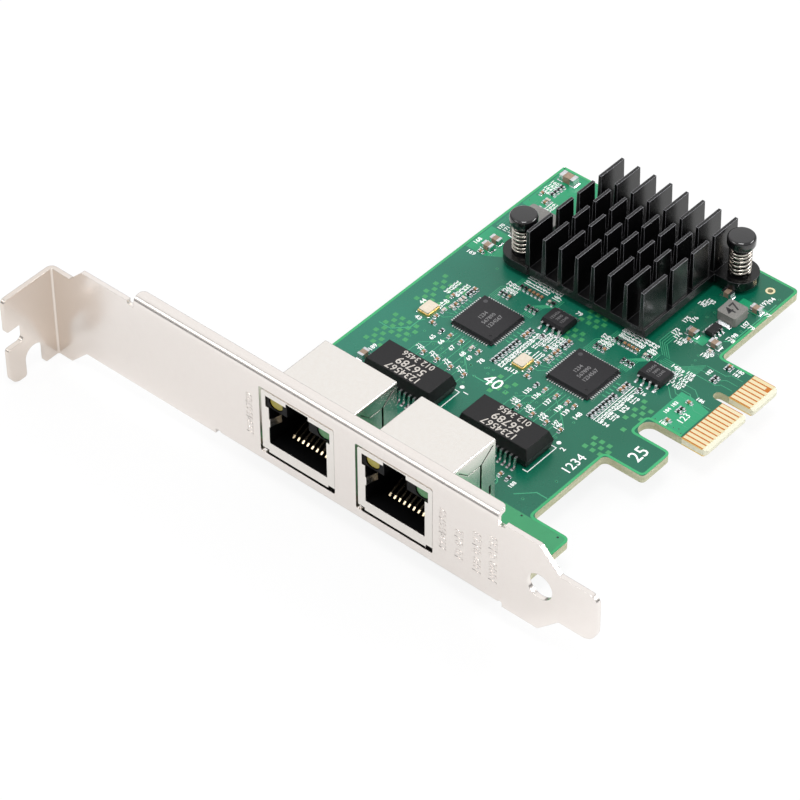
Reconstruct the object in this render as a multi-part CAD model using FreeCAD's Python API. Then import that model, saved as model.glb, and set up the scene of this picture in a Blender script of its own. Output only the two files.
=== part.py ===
import FreeCAD, Part
import math
import os

# Two-port network interface card for a single-lane expansion slot.
# Frame: X runs along the bracket towards the contact edge and is 0 at that edge,
# Y runs from the bracket into the card and is 0 at the key notch, Z is 0 on the component face.

V = FreeCAD.Vector

# ---- board ----
board_thickness = 1.57
board_height = 64.4
board_back = 30.4
board_front = -57.2
board_shoulder = 12.15
board_corner = 1.1

# ---- contact edge ----
key_width = 1.9
key_depth = 7.5
first_tongue_end = -12.05
second_tongue_end = 8.0
tongue_corner = 0.8
bevel_length = 0.6
bevel_drop = 0.4
contact_pitch = 1.0
contact_width = 0.7
contact_start = 4.95
contact_end = 0.72
short_contact_end = 1.6
contact_thickness = 0.05
first_key_contact = 1.5
contacts_before_key = 11
contacts_after_key = 7

# ---- retention hook and foot of the board ----
relief_width = 3.95
hook_reach = 4.1
hook_bottom = -23.6
hook_corner = 1.3
foot_top = -42.4

# ---- bracket ----
sheet = 0.86
bracket_front = -58.98
bracket_length = 119.0
bracket_tip = 14.3
body_top = 15.42
body_width = 18.42
neck_top = 12.4
neck_width = 19.15
neck_length = 7.9
tab_reach = 11.43
tab_bend_radius = 0.4
shoulder_step_top = 2.75
tip_top = 11.34
tip_width = 10.19
tip_length = 7.55
tip_upper_radius = 1.8
tip_lower_radius = 3.0
tip_hole_diameter = 5.1
tip_hole_inset = 11.48
tip_hole_z = 6.5

top_flange_left = -84.4
top_flange_right = -5.8
top_flange_depth = 2.5
top_flange_rise = 1.54
top_bend_radius = 0.5
top_flange_corner = 1.0
top_relief_width = 1.5
top_relief_depth = 0.8

low_flange_left = -65.5
low_flange_right = -5.9
low_flange_depth = 2.6
low_bend_radius = 0.2
low_relief_width = 1.2
low_relief_depth = 1.0

# ---- screw slot and arch in the tab ----
slot_depth = 3.8
slot_width = 3.9
slot_z = 3.3
slot_corner = 1.1
slot_mouth_corner = 0.6
tab_corner = 1.0
arch_radius = 2.2
arch_inset = 5.5
arch_top = -1.15
finger_radius = 2.3
arch_lip_radius = 0.6

# ---- ears under the board and their screws ----
ear_width = 9.0
ear_depth = 8.6
ear_corner = 2.0
ear_hole_inset = 4.2
screw_diameter = 3.0
screw_head_diameter = 5.6
screw_head_height = 2.0
screw_tail = 1.0
screw_recess = 1.1
collar_diameter = 5.0
board_hole_clearance = 0.2
thread_clearance = 0.02
screw_xs = (-60.2, -9.6)

# ---- channels: one jack, transformer, controller and flash chip each ----
channel_pitch = 20.9
last_channel = -27.0
channel_count = 2

# ---- jack ----
jack_offset = -0.15
jack_width = 15.8
jack_height = 13.4
jack_back = -43.3
jack_sheet = 0.25
jack_face_setback = 0.06
jack_fit = 0.04
opening_side_gap = 0.45
opening_right_gap = 0.1
opening_top_gap = 0.42
opening_bottom_gap = 0.55
opening_corner = 0.45
plug_width = 12.6
plug_floor = 2.15
plug_ceiling_drop = 3.4
plug_depth = 11.6
lamp_window_width = 14.0
lamp_window_drop = 1.05
latch_width = 4.8
latch_offset = -0.05
latch_depth = 9.0
latch_roof = 0.75
seam_width = 0.45
seam_inset = 3.6
fold_height = 3.3
flap_slit = 0.14
flap_corner = 3.2
flap_reach = 5.4
flap_rise = 2.0
shield_slit_height = 2.0
shield_slit_width = 0.5
shield_slit_inset = 1.5
ground_tongue_height = 1.7
ground_tongue_reach = 2.3
ground_tongue_z = 6.6
ground_tongue_lean = 0.75
shield_foot_notch = 1.5
shield_foot_rise = 0.55
post_diameter = 3.2
post_inset = 8.6
post_spread = 11.43
post_tail = 1.2

# ---- contact springs of the jack ----
spring_count = 8
spring_pitch = 1.02
spring_wire = 0.34
spring_nose_inset = 3.3
spring_nose_z = 3.0
spring_back_inset = 11.2
spring_back_z = 6.6
spring_tail_inset = 13.0
spring_tail_stagger = 1.3
spring_tail = 1.2

# ---- lamps of the jack ----
lamp_width = 2.7
lamp_height = 2.1
lamp_side = 0.75
lamp_depth = 4.5
lamp_setback = 0.5
lamp_clearance = 0.12
lamp_radius = 1.1

# ---- line transformer ----
transformer_y = -31.35
transformer_length = 15.0
transformer_width = 7.1
transformer_height = 4.0
transformer_standoff = 0.3
transformer_split = 2.0
transformer_draft = 0.4
transformer_lead_pitch = 1.0
transformer_lead_count = 12
transformer_span = 9.8

# ---- Ethernet controller ----
chip_y = -10.75
chip_size = 9.0
chip_height = 0.9
chip_base = 0.3
chip_taper = 0.3
chip_lead_pitch = 0.5
chip_lead_count = 16
chip_lead_width = 0.26
chip_lead_reach = 0.5
chip_lead_height = 0.22

# ---- flash memory in a small-outline package ----
flash_dx = 9.6
flash_y = -3.3
flash_length = 4.9
flash_width = 3.9
flash_height = 1.55
flash_standoff = 0.15
flash_draft = 0.2
flash_lead_pitch = 1.27
flash_lead_count = 4
flash_span = 6.0

# ---- heatsink over the switch chip ----
sink_x = -37.5
sink_y = 15.4
sink_width = 26.6
sink_depth = 26.2
sink_bottom = 1.1
sink_base = 1.7
sink_top = 10.7
fin_count = 8
fin_thickness = 0.6
fin_root = 1.0
fin_ledge = 0.35
fin_row_ends = ((0.0, 6.4), (8.0, 12.1), (13.7, 18.0), (19.7, 26.2))
ear_reach = 3.55
pin_dx = 16.0
pin_dy = 9.9
switch_size = 12.0
switch_height = 0.85

# ---- push pins and springs ----
pin_cap_diameter = 5.1
pin_cap_height = 2.0
pin_cap_top = 10.8
pin_cap_round = 0.4
pin_collar_diameter = 3.9
pin_collar_height = 0.5
pin_shaft_diameter = 2.4
pin_hole_clearance = 0.3
pin_barb_diameter = 3.7
pin_barb_height = 1.6
pin_tip_height = 1.5
pin_tip_diameter = 1.6
pin_slot_width = 0.7
coil_wire = 0.46
coil_diameter = 3.7
coil_turns = 6.5
coil_sides = 5
coil_steps = 12

# ---- power parts ----
choke_x, choke_y, choke_size, choke_height = -16.8, 17.3, 4.0, 1.95
large_choke_x, large_choke_y, large_choke_size, large_choke_height = -57.0, 13.3, 6.8, 2.3
choke_corner = 0.5
choke_terminal_reach = 0.35
choke_terminal_height = 0.6
regulator_x, regulator_y = -16.95, 12.2
regulator_width, regulator_length, regulator_height = 1.6, 2.9, 1.1
regulator_span = 2.9
regulator_lead_pitch = 0.95

# ---- crystals ----
crystal_dx = -9.75
crystal_y = -14.9
crystal_width, crystal_length, crystal_height = 2.5, 3.2, 0.75
crystal_base_height = 0.35
crystal_lid_margin = 0.15

# ---- chip capacitors and resistors: length, width, height ----
small_chip = (1.0, 0.5, 0.42)
medium_chip = (2.0, 1.25, 1.1)
large_chip = (3.2, 1.6, 1.4)
terminal_share = 0.25
terminal_skin = 0.03

test_hole = (-16.0, 27.1)
test_hole_diameter = 1.0

plug_ceiling = jack_height - plug_ceiling_drop
lamp_window_top = jack_height - lamp_window_drop
board_bottom = -board_thickness
bracket_back = bracket_front + sheet
tab_outer = bracket_tip - bracket_length
body_bottom = body_top - body_width
neck_bottom = neck_top - neck_width
tip_bottom = tip_top - tip_width
low_flange_top = body_bottom + sheet
channels = [last_channel - channel_pitch * (channel_count - 1 - n) for n in range(channel_count)]
pins = [(sink_x - pin_dx, sink_y - pin_dy), (sink_x + pin_dx, sink_y + pin_dy)]
screw_y = bracket_back + ear_depth - ear_hole_inset


# ---- geometry helpers ----

def box(x0, x1, y0, y1, z0, z1):
    """A box from its lower to its upper limits."""
    return Part.makeBox(x1 - x0, y1 - y0, z1 - z0, V(x0, y0, z0))


def cylinder(x, y, z0, z1, diameter):
    """An upright cylinder."""
    return Part.makeCylinder(diameter / 2, z1 - z0, V(x, y, z0))


def cone(x, y, z0, z1, low_diameter, high_diameter):
    """An upright cone frustum."""
    return Part.makeCone(low_diameter / 2, high_diameter / 2, z1 - z0, V(x, y, z0))


def outline(corners):
    """Closed wire in the plane of two coordinates; each corner is (a, b, radius)."""
    count = len(corners)
    cuts = []
    for n in range(count):
        a, b, radius = corners[n]
        here = V(a, b, 0)
        before = V(corners[n - 1][0], corners[n - 1][1], 0) - here
        after = V(corners[(n + 1) % count][0], corners[(n + 1) % count][1], 0) - here
        if radius <= 0:
            cuts.append((here, None, here))
            continue
        before.normalize()
        after.normalize()
        half = before.getAngle(after) / 2
        reach = radius / math.tan(half)
        middle = before + after
        middle.normalize()
        near = here + middle * (radius / math.sin(half) - radius)
        cuts.append((here + before * reach, near, here + after * reach))
    edges = []
    for n in range(count):
        start, middle, end = cuts[n]
        if middle is not None:
            edges.append(Part.Arc(start, middle, end).toShape())
        following = cuts[(n + 1) % count][0]
        if (following - end).Length > 1e-6:
            edges.append(Part.LineSegment(end, following).toShape())
    return Part.Wire(edges)


def flat_plate(corners, z0, z1):
    """Plate parallel to XY."""
    face = Part.Face(outline(corners))
    plate = face.extrude(V(0, 0, z1 - z0))
    plate.translate(V(0, 0, z0))
    return plate


def upright_plate(corners, y0, y1):
    """Plate parallel to XZ; corners are (x, z, radius)."""
    plate = flat_plate(corners, 0, y1 - y0)
    plate.rotate(V(0, 0, 0), V(1, 0, 0), 90)
    plate.translate(V(0, y1, 0))
    return plate


def side_plate(corners, x0, x1):
    """Plate parallel to YZ; corners are (y, z, radius)."""
    plate = flat_plate(corners, 0, x1 - x0)
    plate.rotate(V(0, 0, 0), V(1, 0, 0), 90)
    plate.rotate(V(0, 0, 0), V(0, 0, 1), 90)
    plate.translate(V(x0, 0, 0))
    return plate


def rectangle(a0, a1, b0, b1, radius=0.0):
    """Corners of a rectangle with equal corner radii."""
    return [(a0, b0, radius), (a1, b0, radius), (a1, b1, radius), (a0, b1, radius)]


def frustum(x, y, z0, z1, low, high):
    """Block on a centre with rectangular ends: low and high are (width, depth)."""
    wires = []
    for z, (width, depth) in ((z0, low), (z1, high)):
        points = [V(x + sx * width / 2, y + sy * depth / 2, z)
                  for sx, sy in ((-1, -1), (1, -1), (1, 1), (-1, 1))]
        wires.append(Part.makePolygon(points + points[:1]))
    return Part.makeLoft(wires, True, True)


def bend(centre_a, centre_b, inner, start_angle):
    """Quarter ring of sheet in a plane, as a face; the angle is in degrees."""
    outer = inner + sheet
    points = []
    for radius in (inner, outer):
        for turn in (0, 45, 90):
            angle = math.radians(start_angle + turn)
            points.append(V(centre_a + radius * math.cos(angle), centre_b + radius * math.sin(angle), 0))
    edges = [Part.Arc(points[0], points[1], points[2]).toShape(),
             Part.LineSegment(points[2], points[5]).toShape(),
             Part.Arc(points[5], points[4], points[3]).toShape(),
             Part.LineSegment(points[3], points[0]).toShape()]
    return Part.Face(Part.Wire(edges))


def bend_along_x(centre_y, centre_z, inner, start_angle, x0, x1):
    """Bend whose axis runs along X."""
    ring = bend(centre_y, centre_z, inner, start_angle).extrude(V(0, 0, x1 - x0))
    ring.rotate(V(0, 0, 0), V(1, 0, 0), 90)
    ring.rotate(V(0, 0, 0), V(0, 0, 1), 90)
    ring.translate(V(x0, 0, 0))
    return ring


def gull_wing(x, y, toward, width, exit_reach, exit_z, foot_reach, thickness=0.2):
    """Lead bent down to the board; toward is the angle it points to, in degrees."""
    knee = exit_reach + 0.35 * (foot_reach - exit_reach)
    heel = exit_reach + 0.5 * (foot_reach - exit_reach)
    low = thickness
    profile = [(exit_reach, exit_z - thickness / 2), (knee - thickness / 2, exit_z - thickness / 2),
               (heel - thickness / 2, 0), (foot_reach, 0), (foot_reach, low),
               (heel + thickness / 2, low), (knee + thickness / 2, exit_z + thickness / 2),
               (exit_reach, exit_z + thickness / 2)]
    points = [V(a, -width / 2, b) for a, b in profile]
    lead = Part.Face(Part.makePolygon(points + points[:1])).extrude(V(0, width, 0))
    lead.rotate(V(0, 0, 0), V(0, 0, 1), toward)
    lead.translate(V(x, y, 0))
    return lead


def spread(count, pitch):
    """Places of a row about its middle."""
    return [(n - (count - 1) / 2) * pitch for n in range(count)]


def export(name, *solids):
    """Write one node; several solids go in as a compound."""
    shape = solids[0] if len(solids) == 1 else Part.makeCompound(list(solids))
    shape.exportStep("parts/" + name + ".step")
    return shape


# ---- board and contact edge ----

def contact_rows():
    """Place along Y of every contact, from the bracket side."""
    before = [-first_key_contact - contact_pitch * n for n in range(contacts_before_key)]
    after = [first_key_contact + contact_pitch * n for n in range(contacts_after_key)]
    return before[::-1] + after


def circuit_board():
    shoulder = -board_shoulder
    hook_top = first_tongue_end - relief_width
    relief = relief_width / 2 - 0.05
    key = key_width / 2
    corners = [
        (-board_height, board_back, board_corner), (-board_height, board_front, board_corner / 2),
        (-hook_reach, board_front, board_corner / 2), (-hook_reach, foot_top, hook_corner),
        (shoulder, foot_top, board_corner), (shoulder, hook_bottom, board_corner),
        (-hook_reach, hook_bottom, tongue_corner), (-hook_reach, hook_top, hook_corner),
        (shoulder, hook_top, relief), (shoulder, first_tongue_end, relief),
        (0, first_tongue_end, tongue_corner), (0, -key, tongue_corner / 2),
        (-key_depth, -key, key - 0.01), (-key_depth, key, key - 0.01),
        (0, key, tongue_corner / 2), (0, second_tongue_end, tongue_corner),
        (shoulder, second_tongue_end, board_corner), (shoulder, board_back, board_corner),
    ]
    board = flat_plate(corners, board_bottom, 0)
    low, high = first_tongue_end - 1, second_tongue_end + 1
    for face, inward in ((0, -1), (board_bottom, 1)):
        wedge = [(-bevel_length, face), (1, face), (1, face + inward * bevel_drop), (0, face + inward * bevel_drop)]
        points = [V(x, low, z) for x, z in wedge]
        board = board.cut(Part.Face(Part.makePolygon(points + points[:1])).extrude(V(0, high - low, 0)))
    for x in screw_xs:
        board = board.cut(cylinder(x, screw_y, board_bottom - 1, 1, screw_diameter + board_hole_clearance))
    for x, y in pins:
        board = board.cut(cylinder(x, y, board_bottom - 1, 1, pin_shaft_diameter + pin_hole_clearance))
    x, y = test_hole
    board = board.cut(cylinder(x, y, board_bottom - 1, 1, test_hole_diameter))
    for channel in channels:
        for x, y in post_places(channel):
            board = board.cut(cylinder(x, y, board_bottom - 1, 1, post_diameter + jack_fit))
        for x, y in tail_places(channel):
            board = board.cut(box(x - tail_hole, x + tail_hole, y - tail_hole, y + tail_hole, board_bottom - 1, 1))
    return board


def edge_contacts(face, outward, short_contact):
    """Gold strips on one face of the tongues; one strip is shorter for presence sensing."""
    strips = []
    for n, y in enumerate(contact_rows()):
        end = short_contact_end if n == short_contact else contact_end
        z0, z1 = sorted((face, face + outward * contact_thickness))
        strips.append(box(-contact_start, -end, y - contact_width / 2, y + contact_width / 2, z0, z1))
    return strips


# ---- bracket ----

def bracket_face():
    """Long plate of the bracket with its neck, relief notches and tapered tip."""
    bend_x = tab_outer + sheet + tab_bend_radius
    neck_end = tab_outer + neck_length
    step = neck_bottom - body_bottom
    taper = bracket_tip - tip_length
    corners = [
        (bend_x, neck_top, 0), (neck_end - shoulder_step_top, neck_top, 0.3),
        (neck_end - shoulder_step_top + body_top - neck_top, body_top, 0.3),
        (taper - (body_top - tip_top), body_top, 0.8), (taper, tip_top, 0.8),
        (bracket_tip, tip_top, tip_upper_radius), (bracket_tip, tip_bottom, tip_lower_radius),
        (taper, tip_bottom, 0.8), (taper - (tip_bottom - body_bottom), body_bottom, 0.8),
        (neck_end, body_bottom, 0.3), (neck_end + step, neck_bottom, 0.3), (bend_x, neck_bottom, 0),
    ]
    face = upright_plate(corners, bracket_front, bracket_back)
    rise = body_top + top_flange_rise - sheet - top_bend_radius
    face = face.fuse(box(top_flange_left, top_flange_right, bracket_front, bracket_back, body_top - 1, rise))
    low_rise = body_bottom + sheet + low_bend_radius
    cuts = [box(low_flange_left, low_flange_right, bracket_front - 1, bracket_back + 1, body_bottom - 1, low_rise)]
    for edge, side in ((top_flange_left, -1), (top_flange_right, 1)):
        x0, x1 = sorted((edge, edge + side * top_relief_width))
        notch = rectangle(x0, x1, body_top - top_relief_depth, body_top + 3, 0.3)
        cuts.append(upright_plate(notch, bracket_front - 1, bracket_back + 1))
    for edge, side in ((low_flange_left, -1), (low_flange_right, 1)):
        x0, x1 = sorted((edge, edge + side * low_relief_width))
        notch = rectangle(x0, x1, body_bottom - 3, body_bottom + low_relief_depth, 0.3)
        cuts.append(upright_plate(notch, bracket_front - 1, bracket_back + 1))
    for channel in channels:
        left, right, bottom, top = jack_window(channel)
        window = rectangle(left, right, bottom, top, opening_corner)
        cuts.append(upright_plate(window, bracket_front - 1, bracket_back + 1))
    hole = Part.makeCylinder(tip_hole_diameter / 2, sheet + 2,
                             V(bracket_tip - tip_hole_inset, bracket_front - 1, tip_hole_z), V(0, 1, 0))
    cuts.append(hole)
    for cut in cuts:
        face = face.cut(cut)
    return face


def bracket_tab():
    """Tab that is screwed to the chassis, with its open slot and arch."""
    start = bracket_front - tab_bend_radius
    end = bracket_front - tab_reach
    slot_top, slot_low = slot_z + slot_width / 2, slot_z - slot_width / 2
    arch_y = bracket_front - arch_inset
    corners = [
        (start, neck_top, 0), (end, neck_top, tab_corner),
        (end, slot_top, slot_mouth_corner), (end + slot_depth, slot_top, slot_corner),
        (end + slot_depth, slot_low, slot_corner), (end, slot_low, slot_mouth_corner),
        (end, neck_bottom, finger_radius), (arch_y - arch_radius, neck_bottom, arch_lip_radius),
        (arch_y - arch_radius, arch_top, arch_radius - 0.02),
        (arch_y + arch_radius, arch_top, arch_radius - 0.02),
        (arch_y + arch_radius, neck_bottom, arch_lip_radius), (start, neck_bottom, 0),
    ]
    return side_plate(corners, tab_outer, tab_outer + sheet)


def top_flange():
    """Stiffening fold along the top edge of the bracket, back over the jacks."""
    top = body_top + top_flange_rise
    centre_y = bracket_back + top_bend_radius
    centre_z = top - sheet - top_bend_radius
    fold = bend_along_x(centre_y, centre_z, top_bend_radius, 90, top_flange_left, top_flange_right)
    back = bracket_front + top_flange_depth
    corners = [(top_flange_left, centre_y, 0), (top_flange_right, centre_y, 0),
               (top_flange_right, back, top_flange_corner), (top_flange_left, back, top_flange_corner)]
    return fold.fuse(flat_plate(corners, top - sheet, top))


def low_flange():
    """Fold along the bottom edge, with two ears that carry the board."""
    centre_y = bracket_back + low_bend_radius
    centre_z = low_flange_top + low_bend_radius
    fold = bend_along_x(centre_y, centre_z, low_bend_radius, 180, low_flange_left, low_flange_right)
    back = bracket_front + low_flange_depth
    flange = box(low_flange_left, low_flange_right, centre_y, back, body_bottom, low_flange_top)
    shape = fold.fuse(flange)
    for x in screw_xs:
        left, right = x - ear_width / 2, x + ear_width / 2
        far = bracket_back + ear_depth
        corners = [(left, centre_y, 0), (right, centre_y, 0), (right, far, ear_corner), (left, far, ear_corner)]
        shape = shape.fuse(flat_plate(corners, body_bottom, low_flange_top))
        shape = shape.fuse(cylinder(x, screw_y, body_bottom, board_bottom, collar_diameter))
    for x in screw_xs:
        shape = shape.cut(cylinder(x, screw_y, body_bottom - 1, 1, screw_diameter + thread_clearance))
    return shape


def bracket():
    """Folded sheet: face, tab and both flanges are one piece."""
    bend_x = tab_outer + sheet + tab_bend_radius
    fold = bend(bend_x, bracket_front - tab_bend_radius, tab_bend_radius, 90)
    fold = fold.extrude(V(0, 0, neck_width))
    fold.translate(V(0, 0, neck_bottom))
    shape = bracket_face().multiFuse([fold, bracket_tab(), top_flange(), low_flange()])
    return shape.removeSplitter()


def bracket_screw(x):
    """Pan-head screw with a cross recess, down through the board into the ear."""
    head = cylinder(x, screw_y, 0, screw_head_height, screw_head_diameter)
    rim = [edge for edge in head.Edges if abs(edge.CenterOfMass.z - screw_head_height) < 1e-6]
    head = head.makeChamfer(screw_head_height * 0.4, rim[:1])
    shank = cylinder(x, screw_y, body_bottom - screw_tail, 0.1, screw_diameter)
    screw = head.fuse(shank)
    for wide, narrow in ((0.6, 0.1), (0.1, 0.6)):
        half_x, half_y = wide * screw_diameter, narrow * screw_diameter
        slot = box(x - half_x, x + half_x, screw_y - half_y, screw_y + half_y,
                   screw_head_height - screw_recess, screw_head_height + 1)
        screw = screw.cut(slot)
    return screw


# ---- jack ----

def jack_sides(channel):
    middle = channel + jack_offset
    return middle - jack_width / 2, middle + jack_width / 2


def jack_window(channel):
    """Window in the bracket around one jack: left, right, bottom, top."""
    left, right = jack_sides(channel)
    return left - opening_side_gap, right + opening_right_gap, -opening_bottom_gap, jack_height + opening_top_gap


def post_places(channel):
    middle = channel + jack_offset
    y = bracket_front + post_inset
    return [(middle - post_spread / 2, y), (middle + post_spread / 2, y)]


def tail_places(channel):
    """Where the tails of the contact springs pass through the board."""
    middle = channel + jack_offset
    places = []
    for n, dx in enumerate(spring_rows()):
        y = bracket_front + spring_tail_inset + (n % 2) * spring_tail_stagger
        places.append((middle + dx, y))
    return places


def spring_rows():
    return spread(spring_count, spring_pitch)


def jack_mouth(middle, margin, top):
    """Outline of the mouth: plug space, lamp windows and latch slot."""
    plug = plug_width / 2 + margin
    lamp = lamp_window_width / 2 + margin
    latch = latch_width / 2 + margin
    shift = middle + latch_offset
    return [
        (middle - plug, plug_floor - margin, 0), (middle + plug, plug_floor - margin, 0),
        (middle + plug, plug_ceiling, 0), (middle + lamp, plug_ceiling, 0),
        (middle + lamp, lamp_window_top, 0), (shift + latch, lamp_window_top, 0),
        (shift + latch, top, 0), (shift - latch, top, 0),
        (shift - latch, lamp_window_top, 0), (middle - lamp, lamp_window_top, 0),
        (middle - lamp, plug_ceiling, 0), (middle - plug, plug_ceiling, 0),
    ]


def jack_shield(channel):
    """Folded metal can with a framed mouth, seams on its sides and a ground tongue."""
    left, right = jack_sides(channel)
    middle = (left + right) / 2
    front = bracket_front + jack_face_setback
    can = box(left, right, front, jack_back, 0, jack_height)
    edges = [edge for edge in can.Edges if edge.Length > jack_back - front - 0.1
             and abs(edge.CenterOfMass.z - jack_height) < 1e-6 and abs(edge.tangentAt(0).y) > 0.9]
    can = can.makeFillet(0.4, edges)
    hollow = box(left + jack_sheet, right - jack_sheet, front + jack_sheet, jack_back - jack_sheet,
                 -1, jack_height - jack_sheet)
    can = can.cut(hollow)
    mouth = upright_plate(jack_mouth(middle, 0, jack_height - jack_sheet), front - 1, front + 1)
    can = can.cut(mouth)
    seam_y = jack_back - seam_inset
    for x in (left, right):
        x0, x1 = x - 1, x + 1
        seam = side_plate([(seam_y - seam_width / 2, 3.0, 0), (seam_y + seam_width / 2, 3.0, 0),
                           (seam_y + seam_width / 2, jack_height - fold_height, 0),
                           (jack_back - jack_sheet - 0.2, jack_height - 1.0, 0),
                           (jack_back - jack_sheet - 0.6, jack_height - 0.9, 0),
                           (seam_y - seam_width / 2, jack_height - fold_height, 0)], x0, x1)
        can = can.cut(seam)
        can = can.cut(side_plate(flap_line(seam_y), x0, x1))
        slit_y = jack_back - shield_slit_inset
        can = can.cut(box(x0, x1, slit_y, slit_y + shield_slit_width, 2.0, 2.0 + shield_slit_height))
        inward = x + 1.4 if x == left else x - 1.4
        foot = sorted((x + (-1 if x == left else 1), inward))
        can = can.cut(box(foot[0], foot[1], front - 1, front + 0.5, -1, shield_foot_rise))
    z0 = ground_tongue_z - ground_tongue_height / 2
    side = middle - plug_width / 2
    tongue = flat_plate([(side - 0.5, front, 0), (side + 0.2, front, 0),
                         (side + ground_tongue_lean, front + ground_tongue_reach, 0),
                         (side + ground_tongue_lean - jack_sheet, front + ground_tongue_reach, 0),
                         (side - 0.1, front + jack_sheet, 0), (side - 0.5, front + jack_sheet, 0)],
                        z0, z0 + ground_tongue_height)
    return can.fuse(tongue).removeSplitter()


def flap_line(seam_y):
    """Slit below the side flap of the top sheet, from the seam forwards and then up."""
    low = jack_height - fold_height
    corner, end = seam_y - flap_corner, seam_y - flap_reach
    return [(seam_y, low, 0), (corner, low, 0), (end, low + flap_rise, 0),
            (end, low + flap_rise + flap_slit * 1.5, 0), (corner, low + flap_slit, 0), (seam_y, low + flap_slit, 0)]


def jack_housing(channel):
    """Black insert: plug space, latch channel, lamp pockets and two snap posts."""
    left, right = jack_sides(channel)
    middle = (left + right) / 2
    skin = jack_sheet + jack_fit
    front = bracket_front + jack_face_setback + skin
    block = box(left + skin, right - skin, front, jack_back - skin, 0, jack_height - skin)
    plug = box(middle - plug_width / 2, middle + plug_width / 2, front - 1, front + plug_depth,
               plug_floor, plug_ceiling)
    shift = middle + latch_offset
    half = latch_width / 2
    latch = box(shift - half, shift + half, front - 1, front + latch_depth, plug_ceiling - 1, jack_height - latch_roof)
    block = block.cut(plug).cut(latch)
    pocket_end = bracket_front + jack_face_setback + lamp_setback + lamp_depth + lamp_clearance
    for x0 in lamp_places(channel):
        block = block.cut(lamp_shape(x0, lamp_clearance, front - 1, pocket_end))
    side = middle - plug_width / 2
    z0 = ground_tongue_z - ground_tongue_height / 2
    block = block.cut(box(side - 0.6, side + 0.5, front - 1, front + ground_tongue_reach,
                          z0 - 0.2, z0 + ground_tongue_height + 0.2))
    back = bracket_front + spring_back_inset
    low = spring_back_z - 1.2
    comb = box(middle - spring_count * spring_pitch / 2 - 0.3, middle + spring_count * spring_pitch / 2 + 0.3,
               back - 0.4, jack_back - skin + 1, -1, low + 2.2)
    block = block.cut(comb)
    for x, y in post_places(channel):
        post = cylinder(x, y, board_bottom - post_tail, 0.5, post_diameter)
        tip = [edge for edge in post.Edges if abs(edge.CenterOfMass.z - (board_bottom - post_tail)) < 1e-6]
        post = post.makeChamfer(0.5, tip[:1])
        block = block.fuse(post)
    return block.removeSplitter()


def lamp_places(channel):
    """Left edge of the left and of the right lamp."""
    middle = channel + jack_offset
    half = lamp_window_width / 2
    return [middle - half + lamp_side, middle + half - lamp_width - 0.05]


def lamp_shape(x0, margin, y0, y1):
    """Bar with the outline of a lamp, which is round at the bottom."""
    low, top = lamp_window_top - lamp_height - margin, lamp_window_top + margin
    left, right = x0 - margin, x0 + lamp_width + margin
    radius = lamp_radius + margin
    return upright_plate([(left, low, radius), (right, low, radius), (right, top, 0), (left, top, 0)], y0, y1)


def jack_lamp(x0):
    """Light guide with a round-bottomed face."""
    front = bracket_front + jack_face_setback + lamp_setback
    return lamp_shape(x0, 0, front, front + lamp_depth)


def jack_springs(channel):
    """Eight contact wires, each with a tail through the board."""
    middle = channel + jack_offset
    half = spring_wire / 2
    wires = []
    for (x, tail_y), dx in zip(tail_places(channel), spring_rows()):
        nose_y = bracket_front + spring_nose_inset
        back_y = bracket_front + spring_back_inset
        end_z = board_bottom - spring_tail
        path = [(nose_y, spring_nose_z - 0.35), (nose_y - 0.5, spring_nose_z), (nose_y, spring_nose_z + 0.35),
                (back_y, spring_back_z + half), (tail_y + half, spring_back_z + half), (tail_y + half, end_z),
                (tail_y - half, end_z), (tail_y - half, spring_back_z - half),
                (back_y, spring_back_z - half), (nose_y + 0.3, spring_nose_z - 0.1)]
        points = [V(x - half, y, z) for y, z in path]
        wires.append(Part.Face(Part.makePolygon(points + points[:1])).extrude(V(spring_wire, 0, 0)))
    return wires


# ---- parts on the board ----

def transformer_body(x):
    """Moulded body, widest where its halves meet."""
    narrow = 2 * transformer_draft
    low = (transformer_length - narrow, transformer_width - narrow)
    mid = (transformer_length, transformer_width)
    top = (transformer_length - 1.5 * narrow, transformer_width - 1.5 * narrow)
    lower = frustum(x, transformer_y, transformer_standoff, transformer_split, low, mid)
    upper = frustum(x, transformer_y, transformer_split, transformer_height, mid, top)
    return lower.fuse(upper)


def transformer_leads(x):
    leads = []
    for dx in spread(transformer_lead_count, transformer_lead_pitch):
        for toward in (-90, 90):
            leads.append(gull_wing(x + dx, transformer_y, toward, 0.42, transformer_width / 2,
                                   transformer_split, transformer_span / 2))
    return leads


def controller(x):
    """Flat package: a square base and a tapered top with a pin-one dimple."""
    top_size = chip_size - 2 * chip_taper
    base = frustum(x, chip_y, 0.02, chip_base, (chip_size, chip_size), (chip_size, chip_size))
    lid = frustum(x, chip_y, chip_base, chip_height, (chip_size - 0.2, chip_size - 0.2), (top_size, top_size))
    dimple = cylinder(x + top_size / 2 - 0.9, chip_y - top_size / 2 + 0.9, chip_height - 0.08, chip_height + 1, 0.55)
    return base.fuse(lid).cut(dimple)


def controller_leads(x):
    """Lead ends along the four sides of the base."""
    leads = []
    near = chip_size / 2
    far = near + chip_lead_reach
    for along in spread(chip_lead_count, chip_lead_pitch):
        half = chip_lead_width / 2
        low, high = along - half, along + half
        leads.append(box(x + low, x + high, chip_y - far, chip_y - near, 0, chip_lead_height))
        leads.append(box(x + low, x + high, chip_y + near, chip_y + far, 0, chip_lead_height))
        leads.append(box(x - far, x - near, chip_y + low, chip_y + high, 0, chip_lead_height))
        leads.append(box(x + near, x + far, chip_y + low, chip_y + high, 0, chip_lead_height))
    return leads


def flash_body(x):
    low = (flash_length - flash_draft, flash_width - flash_draft)
    mid = (flash_length, flash_width)
    half = (flash_standoff + flash_height) / 2
    lower = frustum(x, flash_y, flash_standoff, half, low, mid)
    upper = frustum(x, flash_y, half, flash_height, mid, (flash_length - 0.4, flash_width - 0.6))
    return lower.fuse(upper)


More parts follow.
